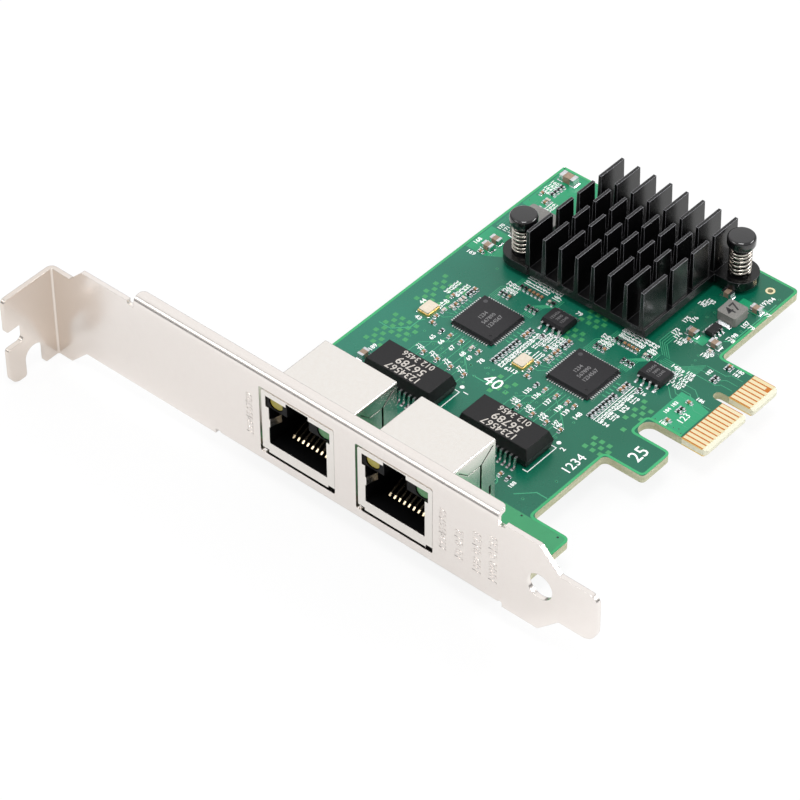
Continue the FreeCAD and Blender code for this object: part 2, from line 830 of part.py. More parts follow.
def flash_leads(x):
    middle = (flash_standoff + flash_height) / 2
    leads = []
    for dx in spread(flash_lead_count, flash_lead_pitch):
        for toward in (-90, 90):
            leads.append(gull_wing(x + dx, flash_y, toward, 0.42, flash_width / 2, middle, flash_span / 2))
    return leads


def heatsink_fin(x, y0, y1, floor):
    """One fin, thicker at its root than at its tip."""
    tip, root = fin_thickness / 2, fin_root / 2
    corners = [(x - root, floor - 0.1, 0), (x + root, floor - 0.1, 0), (x + tip, sink_top, 0), (x - tip, sink_top, 0)]
    return upright_plate(corners, y0, y1)


def heatsink():
    """Base with two ears, and plate fins cut across into rows of pins."""
    left, right = sink_x - sink_width / 2, sink_x + sink_width / 2
    front, back = sink_y - sink_depth / 2, sink_y + sink_depth / 2
    floor = sink_bottom + sink_base
    body = box(left, right, front, back, sink_bottom, floor)
    for (x, y), edge in zip(pins, (left + 1, right - 1)):
        x0, x1 = sorted((x, edge))
        arm = box(x0, x1, y - ear_reach, y + ear_reach, sink_bottom, floor)
        body = body.fuse(arm).fuse(cylinder(x, y, sink_bottom, floor, 2 * ear_reach))
    pitch = (sink_width - fin_root - 2 * fin_ledge) / (fin_count - 1)
    fins = [heatsink_fin(left + fin_ledge + fin_root / 2 + n * pitch, front + start, front + end, floor)
            for n in range(fin_count) for start, end in fin_row_ends]
    body = body.multiFuse(fins)
    for x, y in pins:
        body = body.cut(cylinder(x, y, sink_bottom - 1, floor + 1, pin_shaft_diameter + pin_hole_clearance))
    return body.removeSplitter()


def push_pin(x, y):
    """Plastic pin: domed cap, shaft and a split barb that snaps under the board."""
    cap = cylinder(x, y, pin_cap_top - pin_cap_height, pin_cap_top, pin_cap_diameter)
    rims = [edge for edge in cap.Edges if edge.Closed and len(edge.Vertexes) == 1
            and abs(edge.Length - math.pi * pin_cap_diameter) < 1e-3]
    cap = cap.makeChamfer(pin_cap_round, rims)
    collar_bottom = pin_cap_top - pin_cap_height - pin_collar_height
    collar = cylinder(x, y, collar_bottom, pin_cap_top - pin_cap_height + 0.1, pin_collar_diameter)
    barb_bottom = board_bottom - pin_barb_height
    shaft = cylinder(x, y, barb_bottom, collar_bottom + 0.1, pin_shaft_diameter)
    barb = cone(x, y, barb_bottom, board_bottom, pin_shaft_diameter, pin_barb_diameter)
    tip = cone(x, y, barb_bottom - pin_tip_height, barb_bottom + 0.01, pin_tip_diameter, pin_shaft_diameter)
    pin = cap.multiFuse([collar, shaft, barb, tip])
    half = pin_slot_width / 2
    slot = box(x - 3, x + 3, y - half, y + half, barb_bottom - pin_tip_height - 1, board_bottom + 0.8)
    return pin.cut(slot)


def pin_spring(x, y):
    """Compression spring between the heatsink ear and the cap of the pin, with a faceted wire."""
    bottom = sink_bottom + sink_base + coil_wire / 2
    top = pin_cap_top - pin_cap_height - pin_collar_height - coil_wire / 2
    corners = []
    for n in range(coil_sides):
        around = 2 * math.pi * n / coil_sides
        corners.append((coil_diameter / 2 + coil_wire / 2 * math.cos(around), coil_wire / 2 * math.sin(around)))
    sections = []
    steps = round(coil_turns * coil_steps)
    for n in range(steps + 1):
        turn = 2 * math.pi * n / coil_steps
        middle = bottom + (top - bottom) * n / steps
        points = [V(x + reach * math.cos(turn), y + reach * math.sin(turn), middle + rise) for reach, rise in corners]
        sections.append(Part.makePolygon(points + points[:1]))
    return Part.makeLoft(sections, True, True)


def choke_body(x, y, size, height):
    half = size / 2
    return flat_plate(rectangle(x - half, x + half, y - half, y + half, choke_corner), 0.05, height)


def choke_terminals(x, y, size):
    """Solder terminals on the two sides along Y."""
    half, wide = size / 2, size * 0.3
    parts = []
    for side in (-1, 1):
        y0, y1 = sorted((y + side * half, y + side * (half + choke_terminal_reach)))
        parts.append(box(x - wide, x + wide, y0, y1, 0, choke_terminal_height))
    return parts


def regulator_body():
    mid = (regulator_width, regulator_length)
    top = (regulator_width - 0.3, regulator_length - 0.2)
    split = regulator_height * 0.5
    lower = frustum(regulator_x, regulator_y, 0.1, split, top, mid)
    upper = frustum(regulator_x, regulator_y, split, regulator_height, mid, top)
    return lower.fuse(upper)


def regulator_leads():
    leads = []
    for dy in spread(3, regulator_lead_pitch):
        for toward in (0, 180):
            leads.append(gull_wing(regulator_x, regulator_y + dy, toward, 0.4, regulator_width / 2,
                                   regulator_height * 0.5, regulator_span / 2, 0.14))
    return leads


def crystal_base(x):
    w, d = crystal_width / 2, crystal_length / 2
    return flat_plate(rectangle(x - w, x + w, crystal_y - d, crystal_y + d, 0.2), 0, crystal_base_height)


def crystal_lid(x):
    w, d = crystal_width / 2 - crystal_lid_margin, crystal_length / 2 - crystal_lid_margin
    corners = rectangle(x - w, x + w, crystal_y - d, crystal_y + d, 0.3)
    return flat_plate(corners, crystal_base_height, crystal_height)


# ---- chip capacitors and resistors ----

def chip_rows():
    """Every chip part as (kind, size, x, y, along); C is a capacitor, R a resistor, _ a bare place."""
    rows = []
    for channel in channels:
        for n, kind in enumerate("RRCCCC_CR"):
            rows.append((kind, small_chip, channel - 1.3 + 0.88 * n, -0.05, "y"))
        for n, kind in enumerate("RRC"):
            rows.append((kind, small_chip, channel - 3.0 + 0.88 * n, -3.5, "y"))
        for n, kind in enumerate("RRR"):
            rows.append((kind, small_chip, channel + 2.9 + 0.88 * n, -3.5, "y"))
        for y, kind in zip((-5.75, -6.65, -7.5, -8.8, -9.7, -10.9, -11.9, -17.1), "CRRCCCCC"):
            rows.append((kind, small_chip, channel - 6.95, y, "x"))
        for n, kind in enumerate("RCC_RRRRRRRR"):
            rows.append((kind, small_chip, channel + 7.2, -7.8 - 0.91 * n, "x"))
        for x, kind in zip((-4.4, -2.5, -0.1, 2.3, 3.8), "RCCCC"):
            rows.append((kind, small_chip, channel + x, -17.8, "y"))
        for n in range(4):
            rows.append(("C", small_chip, channel - 3.3 + 2.98 * n, -23.8, "y"))
        for x, y, kind in ((-8.85, -9.5, "C"), (-7.6, -13.5, "C"), (-7.6, -15.5, "C"), (9.5, -7.7, "R")):
            rows.append((kind, small_chip, channel + x, y, "y"))
    for x, y, kind in ((-9.4, 7.0, "C"), (-9.4, 6.2, "R"), (-9.5, 3.2, "R"), (-9.5, 2.3, "R"),
                       (-9.2, -6.6, "R"), (-9.2, -7.5, "R"), (-9.2, -4.6, "C"), (-9.3, -10.3, "C"),
                       (-18.9, 7.9, "C"), (-14.3, 7.9, "C"), (-60.6, 2.6, "C"),
                       (-60.5, 21.0, "C"), (-60.5, 20.2, "C"),
                       (-60.9, 25.5, "R"), (-60.9, 24.6, "R"), (-60.9, 23.7, "R"), (-60.9, 22.8, "R")):
        rows.append((kind, small_chip, x, y, "x"))
    for x, y, kind in ((-62.6, 21.9, "C"), (-22.2, -38.3, "C"), (-20.6, -38.3, "R"),
                       (-60.3, 18.2, "R"), (-59.3, 18.2, "R")):
        rows.append((kind, small_chip, x, y, "y"))
    for x, y in ((-19.3, 9.5), (-14.6, 9.5), (-20.8, 21.3), (-14.6, 21.2), (-60.3, 6.3), (-60.3, 4.1)):
        rows.append(("C", medium_chip, x, y, "x"))
    rows.append(("C", medium_chip, -58.3, -31.1, "y"))
    rows.append(("C", large_chip, -61.1, 27.6, "x"))
    return [row for row in rows if row[0] != "_"]


def chip_part(size, x, y, along):
    """One chip part; the metal ends of the larger ones stand proud of the body."""
    length, width, height = size
    half, side = length / 2, width / 2
    if size is small_chip:
        chip = box(-half, half, -side, side, 0, height)
    else:
        cap = length * terminal_share
        chip = box(-half, half, -side + terminal_skin, side - terminal_skin, terminal_skin, height - terminal_skin)
        for start in (-half, half - cap):
            chip = chip.fuse(box(start, start + cap, -side, side, 0, height))
        chip = chip.removeSplitter()
    if along == "y":
        chip.rotate(V(0, 0, 0), V(0, 0, 1), 90)
    chip.translate(V(x, y, 0))
    return chip


def chip_parts():
    """Small capacitors, large capacitors and resistors."""
    small, large, resistors = [], [], []
    for kind, size, x, y, along in chip_rows():
        chip = chip_part(size, x, y, along)
        if kind == "R":
            resistors.append(chip)
        elif size is small_chip:
            small.append(chip)
        else:
            large.append(chip)
    return small, large, resistors


tail_hole = spring_wire / 2 + 0.1


def build():
    os.makedirs("parts", exist_ok=True)
    export("bracket", bracket())
    export("bracket_screws", *[bracket_screw(x) for x in screw_xs])
    export("circuit_board", circuit_board())
    export("edge_contacts_top", *edge_contacts(0, 1, len(contact_rows()) - 2))
    export("edge_contacts_bottom", *edge_contacts(board_bottom, -1, 0))
    for n, channel in enumerate(channels, 1):
        mark = "_%d" % n
        yellow, green = lamp_places(channel)
        export("jack_shield" + mark, jack_shield(channel))
        export("jack_housing" + mark, jack_housing(channel))
        export("jack_contacts" + mark, *jack_springs(channel))
        export("jack_lamp_yellow" + mark, jack_lamp(yellow))
        export("jack_lamp_green" + mark, jack_lamp(green))
        export("transformer_body" + mark, transformer_body(channel))
        export("transformer_leads" + mark, *transformer_leads(channel))
        export("controller_chip" + mark, controller(channel))
        export("controller_leads" + mark, *controller_leads(channel))
        export("flash_chip" + mark, flash_body(channel + flash_dx))
        export("flash_leads" + mark, *flash_leads(channel + flash_dx))
        export("crystal_base" + mark, crystal_base(channel + crystal_dx))
        export("crystal_lid" + mark, crystal_lid(channel + crystal_dx))
    half = switch_size / 2
    switch = (sink_x - half, sink_x + half, sink_y - half, sink_y + half)
    export("switch_chip", box(*switch, 0, switch_height))
    export("thermal_pad", box(*switch, switch_height, sink_bottom))
    export("heatsink", heatsink())
    for side, (x, y) in zip(("left", "right"), pins):
        export("push_pin_" + side, push_pin(x, y))
        export("pin_spring_" + side, pin_spring(x, y))
    export("choke", choke_body(choke_x, choke_y, choke_size, choke_height))
    export("large_choke", choke_body(large_choke_x, large_choke_y, large_choke_size, large_choke_height))
    export("choke_terminals", *choke_terminals(choke_x, choke_y, choke_size),
           *choke_terminals(large_choke_x, large_choke_y, large_choke_size))
    export("regulator", regulator_body())
    export("regulator_leads", *regulator_leads())
    small, large, resistors = chip_parts()
    export("small_capacitors", *small)
    export("large_capacitors", *large)
    export("resistors", *resistors)


build()
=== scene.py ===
import math
import random

import bmesh
import bpy
from mathutils import Matrix, Vector


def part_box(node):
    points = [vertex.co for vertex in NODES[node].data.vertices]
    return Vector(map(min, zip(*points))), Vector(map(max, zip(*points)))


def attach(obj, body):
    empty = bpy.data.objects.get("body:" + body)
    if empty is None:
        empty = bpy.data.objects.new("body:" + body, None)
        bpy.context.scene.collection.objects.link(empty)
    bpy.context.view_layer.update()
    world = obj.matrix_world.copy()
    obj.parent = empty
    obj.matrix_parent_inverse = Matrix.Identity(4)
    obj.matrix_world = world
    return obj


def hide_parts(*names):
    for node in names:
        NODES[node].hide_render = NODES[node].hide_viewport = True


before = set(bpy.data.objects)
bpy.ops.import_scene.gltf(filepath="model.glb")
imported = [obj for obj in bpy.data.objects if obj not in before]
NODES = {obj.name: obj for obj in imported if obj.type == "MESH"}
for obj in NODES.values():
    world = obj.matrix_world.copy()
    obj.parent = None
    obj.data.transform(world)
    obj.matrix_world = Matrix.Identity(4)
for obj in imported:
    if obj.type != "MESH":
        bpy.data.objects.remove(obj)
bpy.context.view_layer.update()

MM = 0.001


# ---------------- camera

def photo_camera():
    """Camera at the angle the card is seen from: a long lens, a little above it."""
    azimuth, elevation, roll = math.radians(41.184), math.radians(42.788), math.radians(-0.437)
    target = Vector((-46.572, -35.468, 0)) * MM
    distance = 618.279 * MM
    back = Vector((math.sin(azimuth) * math.cos(elevation), -math.cos(azimuth) * math.cos(elevation),
                   math.sin(elevation)))
    right = (-back).cross(Vector((0, 0, 1))).normalized()
    up = right.cross(-back)
    turned_right = right * math.cos(roll) + up * math.sin(roll)
    turned_up = up * math.cos(roll) - right * math.sin(roll)
    data = bpy.data.cameras.new("camera")
    data.sensor_width = 36
    data.lens = 166.37
    data.shift_x = 0.0011
    data.shift_y = -0.0001
    data.clip_start, data.clip_end = 0.01, 20
    camera = bpy.data.objects.new("camera", data)
    bpy.context.scene.collection.objects.link(camera)
    matrix = Matrix((turned_right, turned_up, back)).transposed().to_4x4()
    matrix.translation = target + back * distance
    camera.matrix_world = matrix
    bpy.context.scene.camera = camera


# ---------------- node helpers

class Nodes:
    """Short way to write the node tree of a material or a world."""

    def __init__(self, owner):
        """The owner is the name of a new material, or a world."""
        self.material = bpy.data.materials.new(owner) if isinstance(owner, str) else owner
        self.material.use_nodes = True
        self.tree = self.material.node_tree
        self.shader = self.tree.nodes.get("Principled BSDF")
        self.places = self.tree.nodes.new("ShaderNodeTexCoord").outputs
        self.coordinates = self.places["Object"]

    def node(self, kind, **settings):
        """New node with its settings."""
        node = self.tree.nodes.new(kind)
        for key, value in settings.items():
            setattr(node, key, value)
        return node

    def link(self, source, target):
        self.tree.links.new(source, target)

    def split(self, vector):
        """X, Y and Z of a vector."""
        node = self.node("ShaderNodeSeparateXYZ")
        self.link(vector, node.inputs[0])
        return node.outputs

    def rounded_normal(self, radius, samples):
        """Normal as if the edges were rounded by a radius in millimetres."""
        node = self.node("ShaderNodeBevel", samples=samples)
        node.inputs["Radius"].default_value = radius * MM
        return node.outputs[0]

    def feed(self, target, value):
        """A number, a colour or a socket goes into an input."""
        if isinstance(value, (int, float)):
            target.default_value = value
        elif isinstance(value, tuple):
            target.default_value = value + (1.0,)
        else:
            self.link(value, target)

    def math(self, operation, a, b=None):
        node = self.node("ShaderNodeMath", operation=operation)
        for n, value in enumerate((a, b)):
            if value is not None:
                self.feed(node.inputs[n], value)
        return node.outputs[0]

    def noise(self, scale, detail, stretch=None):
        """Noise in object space, scale in features per metre."""
        vector = self.coordinates
        if stretch:
            mapping = self.node("ShaderNodeMapping")
            mapping.inputs["Scale"].default_value = stretch
            self.link(vector, mapping.inputs["Vector"])
            vector = mapping.outputs[0]
        noise = self.node("ShaderNodeTexNoise")
        noise.inputs["Scale"].default_value = scale
        noise.inputs["Detail"].default_value = detail
        self.link(vector, noise.inputs["Vector"])
        return noise.outputs[0]

    def span(self, value, low, high, from_low=0.0, from_high=1.0):
        """Value stretched to a range."""
        node = self.node("ShaderNodeMapRange")
        for n, number in enumerate((from_low, from_high, low, high)):
            node.inputs[n + 1].default_value = number
        self.link(value, node.inputs[0])
        return node.outputs[0]

    def mix(self, factor, first, second):
        """Colour between two, each a colour or a socket."""
        node = self.node("ShaderNodeMix", data_type="RGBA")
        for place, value in ((0, factor), (6, first), (7, second)):
            self.feed(node.inputs[place], value)
        return node.outputs[2]

    def colour(self, socket):
        """Colour of the surface."""
        self.link(socket, self.shader.inputs["Base Color"])

    def bump(self, height, strength, distance, edge=0.0):
        """Fine relief, over edges that look rounded by a radius in millimetres."""
        node = self.node("ShaderNodeBump")
        node.inputs["Strength"].default_value = strength
        node.inputs["Distance"].default_value = distance
        if edge:
            self.link(self.rounded_normal(edge, 6), node.inputs["Normal"])
        self.link(height, node.inputs["Height"])
        self.link(node.outputs[0], self.shader.inputs["Normal"])

    def blend(self, share, first, second, output):
        """Two shaders mixed, as the result of the tree."""
        node = self.node("ShaderNodeMixShader")
        for n, source in enumerate((share, first, second)):
            self.link(source, node.inputs[n])
        self.link(node.outputs[0], self.tree.nodes[output].inputs["Surface"])

    def fixed(self, **values):
        """Values that are the same all over the surface."""
        for key, value in values.items():
            self.shader.inputs[key.replace("_", " ")].default_value = value


def linear(red, green, blue):
    """Screen colour, 0 to 255, as scene-linear values."""
    def channel(value):
        value /= 255
        return value / 12.92 if value <= 0.04045 else ((value + 0.055) / 1.055) ** 2.4
    return channel(red), channel(green), channel(blue)


TAB_SHADE_REACH = (-104.7 * MM, -92 * MM)   # X over which the painted shade at the far -X end, by the tab, fades out
HIGHLIGHT_BEND = (0.78, 0.98)               # how far a normal turns on an edge with a painted highlight, as a cosine
HIGHLIGHT_RISE = (4 * MM, 8.5 * MM)         # Z over which the painted edge highlight grows to its full share


def plain(name, colour, other, metallic, roughness, grain=900, rough_swing=0.08, bump=0.1,
          depth=0.00001, stretch=None, edge=0.0, painted_edge_highlight=None, painted_shade_end=None, **fixed):
    """Two-tone surface with grain in its colour, roughness and bump.

    Colours are screen colours. Edges may carry a painted highlight, paler higher up, and
    the far -X end may take painted shade, a darker and warmer tone.
    """
    nodes = Nodes(name)
    cloud = nodes.noise(grain, 5.0, stretch)
    base = nodes.mix(nodes.span(cloud, 0, 1, 0.3, 0.7), linear(*colour), linear(*other))
    # painted shade: the far -X end, by the bracket's tab, turns darker and warmer
    if painted_shade_end:
        along = nodes.split(nodes.coordinates)[0]
        base = nodes.mix(nodes.span(along, 1, 0, *TAB_SHADE_REACH), base, linear(*painted_shade_end))
    # painted highlight: pale lines along the rounded edges, growing towards the top
    if painted_edge_highlight:
        bend = nodes.node("ShaderNodeVectorMath", operation="DOT_PRODUCT")
        nodes.link(nodes.node("ShaderNodeNewGeometry").outputs["Normal"], bend.inputs[0])
        nodes.link(nodes.rounded_normal(edge, 8), bend.inputs[1])
        rise = nodes.split(nodes.coordinates)[2]
        edge_highlight_share = nodes.math("MULTIPLY", nodes.span(bend.outputs["Value"], 1, 0, *HIGHLIGHT_BEND),
                          nodes.span(rise, 0.1, 1, *HIGHLIGHT_RISE))
        base = nodes.mix(edge_highlight_share, base, linear(*painted_edge_highlight))
    nodes.colour(base)
    nodes.fixed(Metallic=metallic, **fixed)
    polish = nodes.noise(grain * 0.4, 3.0, stretch)
    nodes.link(nodes.span(polish, roughness - rough_swing, roughness + rough_swing),
               nodes.shader.inputs["Roughness"])
    nodes.bump(nodes.noise(grain * 4, 3.0, stretch), bump, depth, edge)
    return nodes.material


# ---------------- materials

def board_material():
    """Green mask over glass laminate, bare laminate at the contacts, yellow-green cut sides."""
    bare_x, bare_y = -5.05 * MM, -12.6 * MM         # the bare laminate lies beyond both
    bevel_x = -0.78 * MM                            # the bevel at the contact tips starts here
    front_band, back_band = -0.27 * MM, -1.31 * MM  # resin-rich layers lie outside these
    nodes = Nodes("board_mask")
    x, y, z = nodes.split(nodes.coordinates)
    facing = nodes.split(nodes.node("ShaderNodeNewGeometry").outputs["Normal"])[2]
    flat = nodes.math("GREATER_THAN", nodes.math("ABSOLUTE", facing), 0.9)

    cloud = nodes.span(nodes.noise(45, 3.0), 0, 1, 0.35, 0.65)
    # painted sheen: the mask is lighter towards -X and darker towards +X
    across = nodes.span(x, 0.0, 1.0, -66 * MM, -22 * MM)
    pale = nodes.mix(cloud, linear(32, 120, 98), linear(26, 112, 90))
    deep = nodes.mix(cloud, linear(6, 102, 78), linear(4, 94, 70))
    sheen_graded_mask = nodes.mix(across, pale, deep)
    bare = nodes.math("MULTIPLY", nodes.math("GREATER_THAN", x, bare_x),
                      nodes.math("GREATER_THAN", y, bare_y))
    laminate = nodes.mix(nodes.math("GREATER_THAN", x, bevel_x), linear(190, 108, 20),
                         linear(224, 220, 190))
    top = nodes.mix(bare, sheen_graded_mask, laminate)

    layers = nodes.noise(900, 4.0, (0.2, 0.2, 3))
    fibres = nodes.noise(2600, 4.0)
    tone = nodes.math("ADD", nodes.math("MULTIPLY", layers, 0.6), nodes.math("MULTIPLY", fibres, 0.5))
    side = nodes.mix(nodes.span(tone, 0, 1, 0.35, 0.75), linear(206, 204, 178), linear(168, 172, 134))
    upper = nodes.math("MULTIPLY", nodes.math("GREATER_THAN", z, front_band),
                       nodes.math("LESS_THAN", x, bevel_x))
    banded = nodes.math("MAXIMUM", upper, nodes.math("LESS_THAN", z, back_band))
    resin = nodes.mix(banded, linear(228, 226, 204), linear(232, 200, 124))
    side = nodes.mix(bare, side, resin)
    nodes.colour(nodes.mix(flat, side, top))
    gloss = nodes.span(nodes.noise(260, 3.0), 0.22, 0.34, 0.3, 0.7)
    cut = nodes.math("MULTIPLY", nodes.math("SUBTRACT", 1.0, flat), 0.4)
    nodes.link(nodes.math("ADD", gloss, cut), nodes.shader.inputs["Roughness"])
    nodes.bump(nodes.noise(1400, 3.0), 0.05, 0.00001)
    return nodes.material


def mask_material(name, colour, other):
    """Solder mask over copper in a shade of its own."""
    return plain(name, colour, other, 0.0, 0.28, grain=120, bump=0.05)


def make_materials():
    """All finishes by their key."""
    plate = dict(metallic=1.0, grain=1400, bump=0.02, depth=0.000002, rough_swing=0.012, edge=0.12)
    return {
        # the far -X end of the nickel carries painted shade by the tab
        "nickel": plain(
            "nickel_plate", (243, 237, 232), (241, 234, 229), roughness=0.23, painted_shade_end=(230, 220, 211),
            **plate),
        "shield": plain("shield_plate", (240, 236, 231), (238, 233, 227), roughness=0.24, **plate),
        "solder": plain(
            "solder", (232, 233, 236), (206, 208, 212), 1.0, 0.22, grain=1500, bump=0.3, depth=0.00002),
        "tin": plain("tinned_lead", (228, 228, 228), (202, 202, 204), 1.0, 0.24, grain=1800, bump=0.15),
        "gold": plain(
            "gold_contact", (250, 238, 202), (247, 231, 184), 1.0, 0.26, grain=900, stretch=(0.2, 1, 1)),
        "spring_gold": plain("sprung_contact", (242, 226, 196), (226, 204, 164), 1.0, 0.2, grain=1500),
        "spring": plain("spring_wire", (228, 222, 214), (196, 188, 178), 1.0, 0.16, grain=2500),
        # the pale lines on the heatsink's edges are a painted highlight
        "heatsink": plain(
            "black_anodised", (7, 7, 8), (10, 10, 11), 0.0, 0.24, grain=2200, bump=0.03,
            rough_swing=0.01, depth=0.000002, edge=0.2, painted_edge_highlight=(158, 158, 164), Specular_IOR_Level=0.5),
        "black_plastic": plain(
            "black_nylon", (13, 12, 14), (18, 17, 20), 0.0, 0.14, rough_swing=0.02, grain=1600,
            bump=0.02, Specular_IOR_Level=0.9),
        "housing": plain(
            "jack_moulding", (4, 4, 5), (7, 7, 8), 0.0, 0.5, grain=1500, Specular_IOR_Level=0.15),
        "chip": plain(
            "chip_epoxy", (28, 27, 30), (35, 34, 37), 0.0, 0.5, grain=4200, bump=0.3, edge=0.08,
            depth=0.00002, Specular_IOR_Level=0.4),
        "transformer": plain(
            "transformer_epoxy", (18, 17, 19), (24, 23, 25), 0.0, 0.42, grain=3500, bump=0.3,
            depth=0.00002, edge=0.2, Specular_IOR_Level=0.35),
        "ferrite": plain(
            "pressed_powder", (146, 144, 140), (122, 121, 118), 0.1, 0.5, grain=5000, bump=0.4,
            depth=0.00002),
        "tan": plain("capacitor_tan", (178, 134, 96), (156, 114, 80), 0.0, 0.36, grain=2500),
        "grey_tan": plain("capacitor_grey_tan", (166, 142, 122), (146, 124, 106), 0.0, 0.36, grain=2500),
        "white_ceramic": plain(
            "capacitor_white", (214, 200, 186), (196, 182, 168), 0.0, 0.36, grain=2500),
        "resistor": plain("resistor_glaze", (18, 18, 20), (28, 28, 30), 0.0, 0.26, grain=2500),
        "crystal_rim": plain("gilt_rim", (244, 214, 140), (230, 194, 112), 1.0, 0.26, grain=1500),
        "crystal_lid": plain(
            "kovar_lid", (240, 228, 210), (230, 217, 198), 0.6, 0.4, grain=1600, bump=0.1),
        "ink": plain("white_ink", (254, 255, 254), (250, 252, 251), 0.0, 0.6, grain=3000, bump=0.2),
        "mould_mark": plain("mould_mark", (66, 65, 68), (74, 73, 76), 0.0, 0.5, grain=4000),
        "laser": plain("laser_mark", (134, 133, 134), (118, 117, 119), 0.0, 0.7, grain=5000),
        "pad_ink": plain("pale_print", (206, 200, 193), (190, 184, 177), 0.0, 0.6, grain=4000),
        "dark_ink": plain("dark_print", (40, 40, 42), (52, 52, 54), 0.0, 0.6, grain=4000),
        "yellow_lamp": plain(
            "yellow_lamp", (186, 166, 60), (170, 150, 48), 0.0, 0.3, grain=600, Subsurface_Weight=0.2),
        "green_lamp": plain(
            "green_lamp", (92, 150, 92), (76, 130, 80), 0.0, 0.3, grain=600, Subsurface_Weight=0.2),
        "screw": plain("screw_zinc", (205, 205, 205), (186, 186, 188), 1.0, 0.3, grain=900),
        "pad": plain("thermal_pad", (150, 150, 156), (134, 134, 140), 0.0, 0.7, grain=900),
        "board": board_material(),
        "rim_mask": mask_material("mask_bright_rim", (58, 172, 112), (46, 160, 100)),
        "light_mask": mask_material("mask_over_copper", (36, 156, 110), (30, 148, 102)),
        "foot_mask": mask_material("mask_foot", (58, 152, 102), (52, 144, 96)),
        "trace_mask": mask_material("mask_trace", (66, 164, 122), (58, 154, 114)),
        "square_mask": mask_material("mask_square", (66, 156, 98), (58, 148, 92)),
        "hole": plain("hole_shadow", (10, 44, 34), (6, 34, 26), 0.0, 0.5, grain=2000),
    }


MATERIALS = make_materials()

NODE_MATERIALS = {
    "bracket": "nickel", "bracket_screws": "screw", "circuit_board": "board",
    "edge_contacts_top": "gold", "edge_contacts_bottom": "gold",
    "jack_shield": "shield", "jack_housing": "housing", "jack_contacts": "spring_gold",
    "jack_lamp_yellow": "yellow_lamp", "jack_lamp_green": "green_lamp",
    "transformer_body": "transformer", "transformer_leads": "tin",
    "controller_chip": "chip", "controller_leads": "tin", "flash_chip": "chip", "flash_leads": "tin",
    "crystal_base": "crystal_rim", "crystal_lid": "crystal_lid",
    "switch_chip": "chip", "thermal_pad": "pad", "heatsink": "heatsink",
    "push_pin": "black_plastic", "pin_spring": "spring",
    "choke": "ferrite", "large_choke": "ferrite", "choke_terminals": "tin",
    "regulator": "chip", "regulator_leads": "tin",
    "small_capacitors": "tan", "large_capacitors": "grey_tan", "resistors": "resistor",
}

# edge rounds of the nodes: width in millimetres, segments, least angle in degrees
ROUNDS = {
    "bracket": (0.16, 2, 40), "jack_shield": (0.08, 1, 40), "transformer_body": (0.2, 2, 30),
    "controller_chip": (0.06, 1, 30), "flash_chip": (0.06, 1, 30),
    "large_choke": (0.15, 2, 30), "choke": (0.15, 2, 30),
}


def family(name):
    """Name of a node without the number or side of a twin."""
    stem, _, last = name.rpartition("_")
    return stem if last in ("1", "2", "left", "right") else name


def dress_nodes():
    """Every carried-over node gets its finish, and some get rounded edges."""
    for name, node in NODES.items():
        node.data.materials.clear()
        node.data.materials.append(MATERIALS[NODE_MATERIALS[family(name)]])
        if family(name) in ROUNDS:
            soften_edges(node, *ROUNDS[family(name)])


def soften_edges(node, width, segments, angle):
    """Small rounds on the edges of a node, by a modifier."""
    bevel = node.modifiers.new("edge_round", "BEVEL")
    bevel.width = width * MM
    bevel.segments = segments
    bevel.limit_method = "ANGLE"
    bevel.angle_limit = math.radians(angle)


# ---------------- mesh helpers

def piece(name, builder, slots, smooth=False, turn_out=True):
    """New piece from a bmesh builder; slots are its materials in order."""
    mesh = bpy.data.meshes.new(name)
    work = bmesh.new()
    builder(work)
    if turn_out:
        bmesh.ops.recalc_face_normals(work, faces=work.faces)
    work.to_mesh(mesh)
    work.free()
    for key in slots:
        mesh.materials.append(MATERIALS[key])
    if smooth:
        mesh.shade_smooth()
    made = bpy.data.objects.new(name, mesh)
    bpy.context.scene.collection.objects.link(made)
    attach(made, "root")
    return made


def add_box(work, low, high, material=0, top_inset=0.0):
    """Box in millimetres; its top may be narrower."""
    corners = []
    for z, inset in ((low[2], 0.0), (high[2], top_inset)):
        places = rectangle(low[0] + inset, low[1] + inset, high[0] - inset, high[1] - inset)
        corners += [work.verts.new(Vector((x, y, z)) * MM) for x, y in places]
    faces = [(3, 2, 1, 0), (4, 5, 6, 7)] + [(n, (n + 1) % 4, (n + 1) % 4 + 4, n + 4) for n in range(4)]
    for face in faces:
        work.faces.new([corners[n] for n in face]).material_index = material


def add_slab(work, outline, z0, z1, material=0):
    """Flat slab from an outline of (x, y) in millimetres, counter-clockwise."""
    low = [work.verts.new(Vector((x, y, z0)) * MM) for x, y in outline]
    high = [work.verts.new(Vector((x, y, z1)) * MM) for x, y in outline]
    count = len(outline)
    work.faces.new(high).material_index = material
    work.faces.new(low[::-1]).material_index = material
    for n in range(count):
        after = (n + 1) % count
        work.faces.new((low[n], low[after], high[after], high[n])).material_index = material


def circle(x, y, radius, sides):
    """Points round a circle."""
    angles = [2 * math.pi * n / sides for n in range(sides)]
    return [(x + radius * math.cos(angle), y + radius * math.sin(angle)) for angle in angles]


def rectangle(x0, y0, x1, y1):
    """Corners of a rectangle."""
    return [(x0, y0), (x1, y0), (x1, y1), (x0, y1)]


def add_ring(work, x, y, radius, z, sides):
    """Corners round a vertical axis; a radius of 0 gives a single one."""
    places = circle(x, y, radius, sides) if radius else [(x, y)]
    return [work.verts.new(Vector((px, py, z)) * MM) for px, py in places]


def bridge(work, a, b):
    """Faces between two rings; a ring of one corner is a point."""
    count = max(len(a), len(b))
    for k in range(count):
        after = (k + 1) % count
        if len(a) == 1:
            work.faces.new((a[0], b[k], b[after]))
        elif len(b) == 1:
            work.faces.new((a[k], b[0], a[after]))
        else:
            work.faces.new((a[k], b[k], b[after], a[after]))


